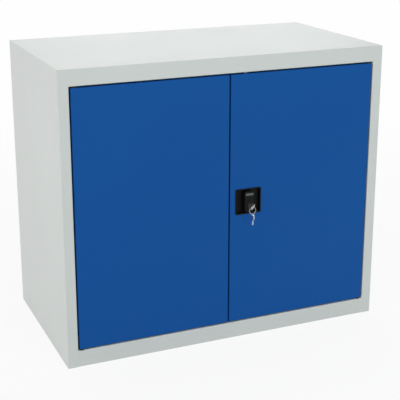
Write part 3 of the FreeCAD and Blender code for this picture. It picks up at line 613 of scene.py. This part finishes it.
class Tree(Wiring):
    """A Geometry Nodes tree that is built in code, used once and taken off again."""

    def __init__(self, name: str, sizes: dict[str, float]) -> None:
        """Makes the tree with its inputs.

        Args:
            name: The tree's name.
            sizes: The name and the value of each number input.
        """
        super().__init__(bpy.data.node_groups.new(name, "GeometryNodeTree"))
        interface = self.tree.interface
        self.sockets: dict[str, str] = {}
        for key, value in sizes.items():
            socket = interface.new_socket(key, in_out="INPUT", socket_type="NodeSocketFloat")
            socket.default_value = value
            self.sockets[key] = socket.identifier
        interface.new_socket("Geometry", in_out="OUTPUT", socket_type="NodeSocketGeometry")
        self.sizes = sizes
        self.start = self.add("NodeGroupInput")
        self.end = self.add("NodeGroupOutput")

    def size(self, name: str) -> Output:
        """One of the tree's number inputs."""
        return self.start, name

    def vector(self, x: object = 0.0, y: object = 0.0, z: object = 0.0) -> Output:
        """A vector whose parts are values, sizes or outputs."""
        return self.add("ShaderNodeCombineXYZ", X=x, Y=y, Z=z), "Vector"

    def copies(self, points: Output, shape: Object) -> Output:
        """Sets a copy of an object on each point."""
        source = self.add("GeometryNodeObjectInfo", Object=shape)
        instance = (source, "Geometry")
        return self.add("GeometryNodeInstanceOnPoints", Points=points, Instance=instance), "Instances"

    def make(self, name: str, last: Output, finish: Finish) -> Object:
        """Ends the tree, runs it and keeps its result as a plain mesh.

        Args:
            name: The piece's name.
            last: The output that holds the finished geometry.
            finish: What the piece is made of.

        Returns:
            The new object, with no modifier left.
        """
        real = self.add("GeometryNodeRealizeInstances", Geometry=last)
        merged = self.add("GeometryNodeMergeByDistance", Geometry=(real, "Geometry"), Distance=TINY)
        look = finish_of(finish)
        dressed = self.add("GeometryNodeSetMaterial", Geometry=(merged, "Geometry"), Material=look)
        self.join(dressed, "Geometry", self.end, "Geometry")
        made = piece(name, bpy.data.meshes.new(name), finish)
        modifier = made.modifiers.new("repeat", "NODES")
        modifier.node_group = self.tree
        for key, identifier in self.sockets.items():
            modifier[identifier] = self.sizes[key]
        settle(made)
        coat(made.data, finish)
        return made


# The cabinet's pieces


@dataclass
class Carcass:
    """The welded body: sides, top, front frame and base, folded from one thickness of sheet."""

    half_width: float = 0.465
    front: float = -0.25
    back: float = 0.25
    height: float = 0.8
    half_opening: float = 0.436
    opening_low: float = 0.046
    opening_high: float = 0.756
    stile_return: float = 0.024
    rail_return: float = 0.03
    stop_flange: float = 0.012
    back_fold: float = 0.015
    base_flange: float = 0.015
    sheet: float = 0.0012
    bend: float = 0.002
    bend_steps: int = 4
    opening_bend: float = 0.0034
    opening_steps: int = 5
    shade_angle: float = 32.0
    keeper_half: float = 0.007
    keeper_low: float = -0.2385
    keeper_high: float = -0.2335
    keeper_depth: float = 0.0096
    keeper_upper: float = 0.05
    keeper_lower: float = 0.0612

    def faces(self) -> list[list[Point]]:
        """The outer faces of the folded sheets.

        Returns:
            Each face as its corners.
        """
        w, o, f, b, h = self.half_width, self.half_opening, self.front, self.back, self.height
        low, high = self.opening_low, self.opening_high
        stile, rail = f + self.stile_return, f + self.rail_return
        fold, rear, inner = w - self.back_fold, b - self.sheet, w - self.sheet
        top_fold, stop = h - self.back_fold, high - self.stop_flange
        made: list[list[Point]] = []
        for side in (-1, 1):
            outer, inward, edge, web = side * w, side * o, side * fold, side * inner
            made += [
                [(outer, f, 0), (outer, f, low), (outer, f, high), (outer, f, h)]
                + [(outer, b, h), (outer, b, top_fold), (outer, b, 0)],
                wall((outer, f), (inward, f), 0, low),
                wall((outer, f), (inward, f), low, high),
                wall((outer, f), (inward, f), high, h),
                wall((inward, f), (inward, stile), low, high),
                wall((outer, b), (edge, b), 0, top_fold),
                wall((outer, b), (edge, b), top_fold, h),
                deck((inward, web), (stile, rear), low),
            ]
        made += [
            wall((-o, f), (o, f), 0, low),
            wall((-o, f), (o, f), high, h),
            wall((-fold, b), (fold, b), top_fold, h),
            [(-w, f, h), (-o, f, h), (o, f, h), (w, f, h)]
            + [(w, b, h), (fold, b, h), (-fold, b, h), (-w, b, h)],
            [(-o, f, high), (-o, stile, high), (o, stile, high), (o, f, high)],
            deck((-o, o), (stile, rail), high),
            wall((-o, rail), (o, rail), high, stop),
            deck((-o, o), (f, stile), low),
            deck((-o, o), (stile, rear), low),
            [(-inner, rear, 0), (inner, rear, 0), (inner, rear, low)]
            + [(o, rear, low), (-o, rear, low), (-inner, rear, low)],
            deck((-inner, inner), (rear, rear - self.base_flange), 0),
            deck((-o, o), (f, f + self.base_flange), 0),
        ]
        return made

    def cutters(self) -> Mesh:
        """The shapes of the rods' slots, to be cut out of the sheet.

        Returns:
            One mesh with both.
        """
        work = bmesh.new()
        size = (2 * self.keeper_half, self.keeper_high - self.keeper_low, self.keeper_depth, 1)
        along = (self.keeper_low + self.keeper_high) / 2
        upper, lower = (self.keeper_upper, self.opening_high), (self.keeper_lower, self.opening_low)
        for across, level in (upper, lower):
            middle = Matrix.Translation((across, along, level))
            bmesh.ops.create_cube(work, size=1, matrix=middle @ Matrix.Diagonal(size))
        return finished(work, "slots")

    def build(self) -> None:
        """Folds, rounds and thickens the sheet, cuts the slots and stands for the five CAD nodes."""
        work = bmesh.new()
        add_faces(work, self.faces(), CLOSE)
        self.turn_outwards(work)
        mesh = finished(work, "carcass")
        rounded_edges(mesh, self.opening_bend, self.opening_steps, self.round_the_opening)
        made = piece("welded_carcass", mesh, Finish.FRAME_GREY)
        bevelled(made, self.bend, self.bend_steps)
        thicken(made, self.sheet)
        cut_away(made, self.cutters())
        mend(made.data)
        smooth(made, self.shade_angle)
        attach(made, "carcass")
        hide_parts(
            "side_panel_left", "side_panel_right", "top_panel", "stop_strip", "base_panel"
        )
        LOG.info("welded_carcass: %d faces", len(made.data.polygons))

    def round_the_opening(self, one: Vector, other: Vector) -> bool:
        """Whether an edge is one of the four folds that turn inwards round the doors.

        Args:
            one: The edge's one end.
            other: Its other end.

        Returns:
            True for such an edge.
        """
        near = self.sheet / 2
        for spot in (one, other):
            if abs(spot.y - self.front) > near or abs(spot.x) > self.half_opening + near:
                return False
            if not self.opening_low - near < spot.z < self.opening_high + near:
                return False
        upright = abs(one.x - other.x) < near and abs(abs(one.x) - self.half_opening) < near
        return upright or abs(one.z - other.z) < near

    def turn_outwards(self, work: BMesh) -> None:
        """Turns every face to the outside of its fold.

        Args:
            work: The folded faces.
        """
        bmesh.ops.recalc_face_normals(work, faces=work.faces)
        top = max(work.faces, key=lambda face: face.calc_center_median().z)
        if top.normal.z < 0:
            bmesh.ops.reverse_faces(work, faces=work.faces)


@dataclass
class Door:
    """One door: a folded pan and the hat channel welded behind its face."""

    side: str
    front: float = -0.25
    fold: float = 0.0015
    fold_steps: int = 3
    cut_edge: float = 0.0003
    channel_edge: float = 0.0008

    def build(self) -> None:
        """Rounds the folds round the face and dresses both pieces."""
        node = f"door_panel_{self.side}"
        mesh = clean_copy(node)
        low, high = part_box(node)
        rounded_edges(
            mesh, self.fold, self.fold_steps, lambda one, other: self.on_rim(one, other, low, high)
        )
        made = piece(f"door_pan_{self.side}", mesh, Finish.DOOR_BLUE)
        soften(made, self.cut_edge, steps=1)
        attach(made, f"door_{self.side}")
        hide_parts(node)
        channel, stiffener = f"hat_channel_{self.side}", f"door_stiffener_{self.side}"
        dressed_node(channel, f"door_{self.side}", Finish.DOOR_BLUE, self.channel_edge, stiffener)
        LOG.info("door_pan_%s: %d faces", self.side, len(made.data.polygons))

    def on_rim(self, one: Vector, other: Vector, low: Vector, high: Vector) -> bool:
        """Whether an edge belongs to the rim of the door's face.

        Args:
            one: The edge's one end.
            other: Its other end.
            low: The low corner of the door's box.
            high: The high corner of it.

        Returns:
            True for such an edge.
        """

        def same(first: float, second: float) -> bool:
            """Whether two measures are the same."""
            return abs(first - second) < CLOSE

        if not (same(one.y, self.front) and same(other.y, self.front)):
            return False
        upright = any(same(one.x, x) and same(other.x, x) for x in (low[0], high[0]))
        level = any(same(one.z, z) and same(other.z, z) for z in (low[2], high[2]))
        return upright or level


@dataclass
class Uprights:
    """The four slotted channels that carry the shelf clips."""

    inner_half_width: float = 0.4638
    width: float = 0.03
    depth: float = 0.012
    sheet: float = 0.0012
    low: float = 0.058
    high: float = 0.744
    pitch: float = 0.025
    first_slot: float = 0.083
    slot_width: float = 0.014
    slot_height: float = 0.004
    slots: int = 26
    cut_edge: float = 0.0002
    front_middle: float = -0.175
    rear_middle: float = 0.19

    def web_cell(self) -> Object:
        """One step of the web with its slot.

        Returns:
            An object with the slot's lower edge at the origin.
        """
        half, half_slot = self.width / 2, self.slot_width / 2
        below = (self.pitch - self.slot_height) / 2
        levels = (-below, 0.0, self.slot_height, self.slot_height + below)
        across = (-half, -half_slot, half_slot, half)
        faces = [
            wall((0.0, left), (0.0, right), under, over)
            for under, over in zip(levels, levels[1:])
            for left, right in zip(across, across[1:])
            if (left, under) != (-half_slot, 0.0)
        ]
        work = bmesh.new()
        add_faces(work, faces, TINY)
        return placed("web_cell", finished(work, "web_cell"))

    def flanges(self) -> list[list[Point]]:
        """The plain faces of one channel: two flanges and the web's two ends.

        Returns:
            Each face as its corners, with edges where the web has them.
        """
        half, low, high = self.width / 2, self.low, self.high
        below = (self.pitch - self.slot_height) / 2
        slots = [self.first_slot + step * self.pitch for step in range(self.slots)]
        start, end = slots[0] - below, slots[-1] + self.slot_height + below
        steps = (-below, 0.0, self.slot_height)
        cuts = [low] + [slot + step for slot in slots for step in steps] + [end, high]
        made = []
        for edge in (-half, half):
            for one, other in zip(cuts, cuts[1:]):
                made.append(wall((0.0, edge), (self.depth, edge), one, other))
        across = (-half, -self.slot_width / 2, self.slot_width / 2, half)
        for one, other in ((low, start), (end, high)):
            for left, right in zip(across, across[1:]):
                made.append(wall((0.0, left), (0.0, right), one, other))
        return made

    def build(self) -> None:
        """Builds one channel from its repeated cell, then sets four of them against the sides."""
        cell = self.web_cell()
        sizes = {"pitch": self.pitch, "first slot": self.first_slot, "steps": float(self.slots)}
        tree = Tree("slotted_web", sizes)
        line = tree.add(
            "GeometryNodeMeshLine",
            Count=tree.size("steps"),
            Start_Location=tree.vector(z=tree.size("first slot")),
            Offset=tree.vector(z=tree.size("pitch")),
        )
        web = tree.make("web", tree.copies((line, "Mesh"), cell), Finish.INNER_GREY)
        bpy.data.objects.remove(cell)
        front, rear = self.front_middle, self.rear_middle
        for name, side, middle in (
            ("front_left", -1, front),
            ("rear_left", -1, rear),
            ("front_right", 1, front),
            ("rear_right", 1, rear),
        ):
            work = bmesh.new()
            work.from_mesh(web.data)
            add_faces(work, self.flanges(), CLOSE)
            face = self.inner_half_width - self.depth
            for vertex in work.verts:
                vertex.co = Vector((side * (face + vertex.co.x), middle + vertex.co.y, vertex.co.z))
            bmesh.ops.recalc_face_normals(work, faces=work.faces)
            web_face = min(work.faces, key=lambda item: abs(item.calc_center_median().x))
            if web_face.normal.x * side > 0:
                bmesh.ops.reverse_faces(work, faces=work.faces)
            made = piece(f"slotted_upright_{name}", finished(work, name), Finish.INNER_GREY)
            thicken(made, self.sheet)
            soften(made, self.cut_edge, steps=1)
            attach(made, "carcass")
            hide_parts(f"shelf_upright_{name}")
            LOG.info("slotted_upright_%s: %d faces", name, len(made.data.polygons))
        bpy.data.objects.remove(web)


@dataclass
class Interior:
    """Shelves, back, clips, hinges and buffers."""

    edge: float = 0.0004
    hinge_edge: float = 0.0002

    def build(self) -> None:
        """Dresses each piece in the place of its CAD node."""
        grey, zinc, nylon, fine = Finish.INNER_GREY, Finish.ZINC, Finish.NYLON, self.hinge_edge
        for level in ("lower", "upper"):
            dressed_node(f"tray_shelf_{level}", "carcass", grey, self.edge, f"shelf_{level}")
            dressed_node(f"spring_clips_{level}", "carcass", zinc, self.edge, f"shelf_clips_{level}")
        dressed_node("rear_sheet", "carcass", Finish.FRAME_GREY, self.edge, "back_panel")
        dressed_node("stop_buffers", "carcass", Finish.RUBBER, self.edge, "door_buffers")
        for side in ("left", "right"):
            for level in ("lower", "upper"):
                place = f"{level}_{side}"
                dressed_node(f"pin_{place}", "carcass", zinc, fine, f"hinge_pin_{place}")
                dressed_node(f"bush_{place}", f"door_{side}", nylon, fine, f"hinge_bush_{place}")


@dataclass
class LockSet:
    """The black plate with its turning bar, and the rod work behind it."""

    across: float = 0.0556
    height: float = 0.4
    cover_back: float = -0.2327
    plate_edge: float = 0.0006
    bar_edge: float = 0.0007
    label_edge: float = 0.0001
    part_edge: float = 0.0003
    tooth_edge: float = 0.00015
    plug_edge: float = 0.0002
    screw_across: float = 0.0225
    screw_up: float = 0.0285
    head_radius: float = 0.0028
    head_height: float = 0.0012
    head_profile: Outline = ((0.0, 0.0), (1.0, 0.0), (1.0, 0.45), (0.82, 0.85), (0.5, 1.0))
    head_steps: int = 24
    head_angle: float = 40.0
    recess_arm: float = 0.0004
    recess_reach: float = 0.0013
    recess_floor: float = 0.45

    def build(self) -> None:
        """Dresses the plate, the bar, the rods and their case."""
        black, zinc, nylon, part = Finish.BLACK_PLASTIC, Finish.ZINC, Finish.NYLON, self.part_edge
        for name, body, finish, edge, node in (
            ("lock_plate", "door_right", black, self.plate_edge, "lock_dish"),
            ("turning_bar", "handle", black, self.bar_edge, "turn_handle"),
            ("bare_insert", "handle", Finish.BARE_LABEL, self.label_edge, "blank_label"),
            ("rack_case", "door_right", zinc, part, "gear_case"),
            ("rack_cover", "door_right", zinc, part, "gear_cover"),
            ("rack_rod_upper", "rod_upper", zinc, part, "locking_rod_upper"),
            ("rack_rod_lower", "rod_lower", zinc, part, "locking_rod_lower"),
            ("centre_tongue", "handle", zinc, part, "latch_tongue"),
            ("tongue_nut", "handle", zinc, part, "spindle_nut"),
            ("toothed_spindle", "handle", zinc, self.tooth_edge, "pinion_spindle"),
            ("slide_guide_upper", "door_right", nylon, part, "rod_guide_upper"),
            ("slide_guide_lower", "door_right", nylon, part, "rod_guide_lower"),
            ("cylinder_rim", "handle", black, part, "cylinder_sleeve"),
            ("cylinder_core", "key_plug", Finish.BLACKENED, self.plug_edge, "lock_plug"),
            ("cam", "key_plug", zinc, self.plug_edge, "lock_cam"),
        ):
            dressed_node(name, body, finish, edge, node)
        self.screws()

    def screws(self) -> None:
        """Four pan-head screws with a cross recess, set on the corners of the cover by a node tree."""
        low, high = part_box("cover_screws")
        radius, head = self.head_radius, self.head_height
        work = bmesh.new()
        turned = [work.verts.new((radius * out, head * up, 0.0)) for out, up in self.head_profile]
        edges = [work.edges.new(pair) for pair in zip(turned, turned[1:])]
        whole = {"cent": (0, 0, 0), "axis": (0, 1, 0), "angle": 2 * math.pi, "steps": self.head_steps}
        bmesh.ops.spin(work, geom=turned + edges, use_duplicate=False, **whole)
        bmesh.ops.remove_doubles(work, verts=work.verts, dist=TINY)
        arm, reach = self.recess_arm, self.recess_reach
        star, quarter = [], [(arm, arm), (reach, arm), (reach, -arm)]
        for _ in range(4):
            star += quarter
            quarter = [(z, -x) for x, z in quarter]
        self.recess(work, star, head, head * self.recess_floor)
        bmesh.ops.recalc_face_normals(work, faces=work.faces)
        screw = placed("screw_head", finished(work, "screw_head"))
        sizes = {"across": 2 * self.screw_across, "up": 2 * self.screw_up}
        place = {"centre x": self.across, "face": self.cover_back, "centre z": self.height}
        tree = Tree("cover_screws", sizes | place)
        across, up = tree.size("across"), tree.size("up")
        grid = tree.add("GeometryNodeMeshGrid", Size_X=across, Size_Y=up, Vertices_X=2, Vertices_Y=2)
        turn = (math.radians(90), 0, 0)
        upright = tree.add("GeometryNodeTransform", Geometry=(grid, "Mesh"), Rotation=turn)
        centre = tree.vector(tree.size("centre x"), tree.size("face"), tree.size("centre z"))
        moved = tree.add("GeometryNodeTransform", Geometry=(upright, "Geometry"), Translation=centre)
        made = tree.make("pan_head_screws", tree.copies((moved, "Geometry"), screw), Finish.ZINC)
        bpy.data.objects.remove(screw)
        smooth(made, self.head_angle)
        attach(made, "door_right")
        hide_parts("cover_screws")
        LOG.info("pan_head_screws: %d faces between %s and %s", len(made.data.polygons), low, high)

    def recess(self, work: BMesh, star: Outline, top: float, floor: float) -> None:
        """Closes the head's top round a cross-shaped recess.

        Args:
            work: The head, open at its top.
            star: The recess, seen from above.
            top: The height of the head.
            floor: The height of the recess's floor.
        """
        rim = [
            edge
            for edge in work.edges
            if edge.is_boundary and all(abs(vertex.co.y - top) < TINY for vertex in edge.verts)
        ]
        upper = [work.verts.new((x, top, z)) for x, z in star]
        lower = [work.verts.new((x, floor, z)) for x, z in star]
        pairs = [(index, (index + 1) % len(star)) for index in range(len(star))]
        inner = [work.edges.new((upper[index], upper[after])) for index, after in pairs]
        bmesh.ops.bridge_loops(work, edges=rim + inner)
        for index, after in pairs:
            work.faces.new([upper[index], upper[after], lower[after], lower[index]])
        work.faces.new(lower)


@dataclass
class Keys:
    """Two flat keys and the split ring that joins them."""

    across: float = 0.0556
    bow: float = 0.0105
    flat: float = 0.009
    neck: float = 0.003
    blade_half: float = 0.0035
    blade: float = 0.0105
    thickness: float = 0.002
    hole_inset: float = 0.0045
    hole: float = 0.003
    hole_depth: float = 0.008
    turn: float = 36.0
    cylinder_height: float = 0.391
    bow_along: float = -0.2735
    hole_along: float = -0.2795
    ring_radius: float = 0.0095
    ring_wire: float = 0.0008
    bow_steps: int = 28
    cut_depths: tuple[float, ...] = (0.0012, 0.0004, 0.0016, 0.0008)
    cuts_from: float = 0.0012
    cuts_to: float = 0.0016
    cut_slopes: Span = (0.3, 0.7)
    root_share: float = 0.6
    tip: float = 0.0018
    tip_low: float = 0.0008
    tip_high: float = 0.0004
    land: float = 0.0002
    groove_width: float = 0.0011
    groove_depth: float = 0.0008
    groove_offset: float = 0.0008
    groove_back: float = 0.001
    hole_steps: int = 32
    key_edge: float = 0.00025
    ring_turns: float = 1.9
    ring_steps: int = 96
    ring_start: float = 70.0
    ring_angle: float = 50.0
    wire_share: float = 0.55
    wire_steps: int = 4

    def outline(self) -> Outline:
        """The key's outline about its bow's centre, its blade towards +X with the cuts along one edge.

        Returns:
            The corners of the outline.
        """
        points = []
        start = math.asin(self.blade_half / self.bow)
        for step in range(self.bow_steps + 1):
            angle = start + (2 * math.pi - 2 * start) * step / self.bow_steps
            x, y = self.bow * math.cos(angle), self.bow * math.sin(angle)
            points.append((x, max(-self.flat, min(self.flat, y))))
        end = self.bow + self.neck + self.blade
        root = self.bow + self.neck * self.root_share
        points += [(root, -self.blade_half), (end - self.tip, -self.blade_half)]
        points += [(end, -self.tip_low), (end, self.tip_high)]
        span = (end - self.cuts_to - root) / len(self.cut_depths)
        for index, depth in enumerate(self.cut_depths):
            right = end - self.cuts_from - index * span
            level = self.blade_half - depth
            points += [(right, self.blade_half - self.land)]
            points += [(right - span * slope, level) for slope in self.cut_slopes]
        points.append((root, self.blade_half))
        return points

    def key(self, name: str, place: Matrix) -> Object:
        """One key: its plate, the hole for the ring and a groove in each face of the blade.

        Args:
            name: The piece's name.
            place: Where the bow's centre lies and how the key is turned.

        Returns:
            The key.
        """
        mesh = extruded(self.outline(), self.thickness, lambda along, up, over: (over, along, up))
        made = piece(name, mesh, Finish.NICKEL)
        hole = bmesh.new()
        middle = Matrix.Translation((0, self.hole_inset - self.bow, 0))
        turned = middle @ Matrix.Rotation(math.radians(90), 4, "Y")
        size = {"radius1": self.hole, "radius2": self.hole, "depth": self.hole_depth}
        bmesh.ops.create_cone(hole, cap_ends=True, segments=self.hole_steps, matrix=turned, **size)
        along = self.bow + self.neck + self.blade / 2 - self.groove_back
        cut = Matrix.Diagonal((self.groove_depth, self.blade + self.neck, self.groove_width, 1))
        for side in (-1, 1):
            groove = Matrix.Translation((side * self.thickness / 2, along, -self.groove_offset))
            bmesh.ops.create_cube(hole, size=1, matrix=groove @ cut)
        cut_away(made, finished(hole, "cutter"))
        made.data.transform(place)
        soften(made, self.key_edge)
        return made

    def build(self) -> None:
        """Makes both keys and the ring."""
        bow = Matrix.Translation((self.across, self.bow_along, self.cylinder_height))
        first = self.key("key_in_cylinder", bow @ Matrix.Rotation(math.radians(self.turn), 4, "Y"))
        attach(first, "key_plug")
        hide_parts("inserted_key")
        low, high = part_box("spare_key")
        bow = Matrix.Translation((self.across, self.hole_along, high[2] - self.bow))
        second = self.key("hanging_key", bow @ Matrix.Rotation(math.radians(-90), 4, "X"))
        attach(second, "spare_key")
        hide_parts("spare_key")
        self.ring()
        LOG.info("keys between %s and %s", low, high)

    def ring(self) -> None:
        """A split ring: two turns of wire lying against each other."""
        low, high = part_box("key_ring")
        centre = Vector(((low[0] + high[0]) / 2, (low[1] + high[1]) / 2, (low[2] + high[2]) / 2))
        wire = self.ring_wire * self.wire_share
        gap = self.ring_wire - wire
        radius = self.ring_radius
        points = []
        for step in range(self.ring_steps + 1):
            share = step / self.ring_steps
            angle = 2 * math.pi * self.ring_turns * share + math.radians(self.ring_start)
            along = -gap + 2 * gap * share
            points.append(centre + Vector((radius * math.cos(angle), along, radius * math.sin(angle))))
        curve = bpy.data.curves.new("split_ring", "CURVE")
        curve.dimensions = "3D"
        curve.bevel_depth = wire
        curve.bevel_resolution = self.wire_steps
        curve.use_fill_caps = True
        spline = curve.splines.new("POLY")
        spline.points.add(len(points) - 1)
        for spot, point in zip(spline.points, points):
            spot.co = (*point, 1.0)
        holder = placed("split_ring_path", curve)
        graph = bpy.context.evaluated_depsgraph_get()
        mesh = bpy.data.meshes.new_from_object(holder.evaluated_get(graph))
        bpy.data.objects.remove(holder)
        mend(mesh)
        made = piece("split_ring", mesh, Finish.NICKEL)
        smooth(made, self.ring_angle)
        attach(made, "key_ring")
        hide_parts("key_ring")


@dataclass(frozen=True)
class Lamp:
    """One square soft light: its place, the length of its side, its watts and its colour."""

    name: str
    place: Point
    side: float
    power: float
    tint: Point = (1.0, 1.0, 1.0)


LAMPS: tuple[Lamp, ...] = (
    Lamp("overhead", (-0.4, -0.2, 3.2), 2.6, 8.0, (1.0, 0.9, 0.9)),
    Lamp("left_fill", (-3.4, -0.6, 1.3), 2.2, 34.0, (1.0, 0.94, 0.95)),
    Lamp("front_fill", (0.6, -3.6, 2.3), 2.0, 39.0, (0.94, 1.0, 0.99)),
    Lamp("right_fill", (3.4, 0.2, 1.4), 2.2, 12.0),
    Lamp("rear_fill", (1.4, 3.4, 1.6), 2.4, 26.0),
)


@dataclass
class Studio:
    """The floor, the soft lights, the white surround and the camera."""

    camera_place: Point = (-1.0912, -2.5787, 1.2535)
    yaw: float = 23.33
    pitch: float = 16.344
    lens: float = 90.0
    shift: float = -0.08
    sensor: float = 36.0
    aim: Point = (0.0, 0.0, 0.4)
    white: float = 0.99
    lit: float = 0.55
    floor_size: float = 30.0
    floor_drop: float = 0.0002
    floor_white: int = 238
    floor_glow: float = 0.88
    fade_near: float = 0.9
    fade_far: float = 2.6

    def blend(
        self, nodes: Wiring, output: Node, lit: Output, seen: Output, fade: Output | None = None
    ) -> None:
        """Mixes what the surround is where it only lights with what it is where it is seen.

        Args:
            nodes: The node tree.
            output: Its output node.
            lit: The shader where it only lights.
            seen: The shader where it is seen, mirrored or seen through.
            fade: A factor on the second one's share.
        """
        path = nodes.add("ShaderNodeLightPath")
        share = (path, "Is Camera Ray")
        steps = [("MAXIMUM", (path, "Is Glossy Ray")), ("MAXIMUM", (path, "Is Transmission Ray"))]
        if fade is not None:
            steps.append(("MULTIPLY", fade))
        for operation, other in steps:
            step = nodes.add("ShaderNodeMath")
            step.operation = operation
            nodes.join(*share, step, 0)
            nodes.join(*other, step, 1)
            share = (step, "Value")
        mix = nodes.add("ShaderNodeMixShader", Fac=share)
        nodes.join(*lit, mix, 1)
        nodes.join(*seen, mix, 2)
        nodes.join(mix, "Shader", output, "Surface")

    def floor(self) -> None:
        """A plain white floor that keeps a soft shadow and fades into the surround."""
        work = bmesh.new()
        bmesh.ops.create_grid(work, x_segments=1, y_segments=1, size=self.floor_size)
        made = placed("floor", finished(work, "floor"))
        material = bpy.data.materials.new("white_floor")
        material.use_nodes = True
        nodes = Wiring(material.node_tree)
        output = nodes.add("ShaderNodeOutputMaterial")
        diffuse = nodes.add("ShaderNodeBsdfDiffuse", Color=linear(*[self.floor_white] * 3))
        glow = nodes.add("ShaderNodeEmission", Strength=self.white)
        coordinates = nodes.add("ShaderNodeTexCoord")
        distance = nodes.add("ShaderNodeVectorMath", Vector=(coordinates, "Object"))
        distance.operation = "LENGTH"
        reach = {"From_Min": self.fade_near, "From_Max": self.fade_far, "To_Min": self.floor_glow}
        fade = nodes.add("ShaderNodeMapRange", Value=(distance, "Value"), To_Max=1.0, **reach)
        self.blend(nodes, output, (diffuse, "BSDF"), (glow, "Emission"), (fade, "Result"))
        made.data.materials.append(material)
        made.location.z = -self.floor_drop

    def world(self) -> None:
        """An even surround: white where it is seen or mirrored, softer where it lights."""
        world = bpy.data.worlds.new("surround")
        bpy.context.scene.world = world
        world.use_nodes = True
        nodes = Wiring(world.node_tree)
        output = nodes.add("ShaderNodeOutputWorld")
        seen, lit = (
            (nodes.add("ShaderNodeBackground", Color=(1, 1, 1, 1), Strength=strength), "Background")
            for strength in (self.white, self.lit)
        )
        self.blend(nodes, output, lit, seen)

    def lamp(self, lamp: Lamp) -> None:
        """Hangs one soft light and points it at the cabinet's middle.

        Args:
            lamp: The light.
        """
        light = bpy.data.lights.new(lamp.name, "AREA")
        light.shape = "SQUARE"
        light.size = lamp.side
        light.energy = lamp.power
        light.color = lamp.tint
        made = placed(lamp.name, light)
        made.location = lamp.place
        sight = Vector(self.aim) - Vector(lamp.place)
        made.rotation_euler = sight.to_track_quat("-Z", "Y").to_euler()

    def camera(self) -> None:
        """The camera at the photograph's viewing angle."""
        data = bpy.data.cameras.new("camera")
        data.sensor_width = self.sensor
        data.lens = self.lens
        data.shift_y = self.shift
        made = placed("camera", data)
        made.location = self.camera_place
        made.rotation_euler = (math.radians(90 - self.pitch), 0.0, math.radians(-self.yaw))
        bpy.context.scene.camera = made

    def build(self) -> None:
        """Sets the whole studio up."""
        self.camera()
        self.floor()
        self.world()
        for lamp in LAMPS:
            self.lamp(lamp)
        bpy.context.scene.view_settings.view_transform = "Standard"


def main() -> None:
    """Builds the cabinet piece by piece."""
    logging.basicConfig(level=logging.INFO, format="%(name)s: %(message)s")
    Studio().build()
    Carcass().build()
    for side in ("left", "right"):
        Door(side).build()
    Uprights().build()
    Interior().build()
    LockSet().build()
    Keys().build()


if __name__ == "__main__":
    main()
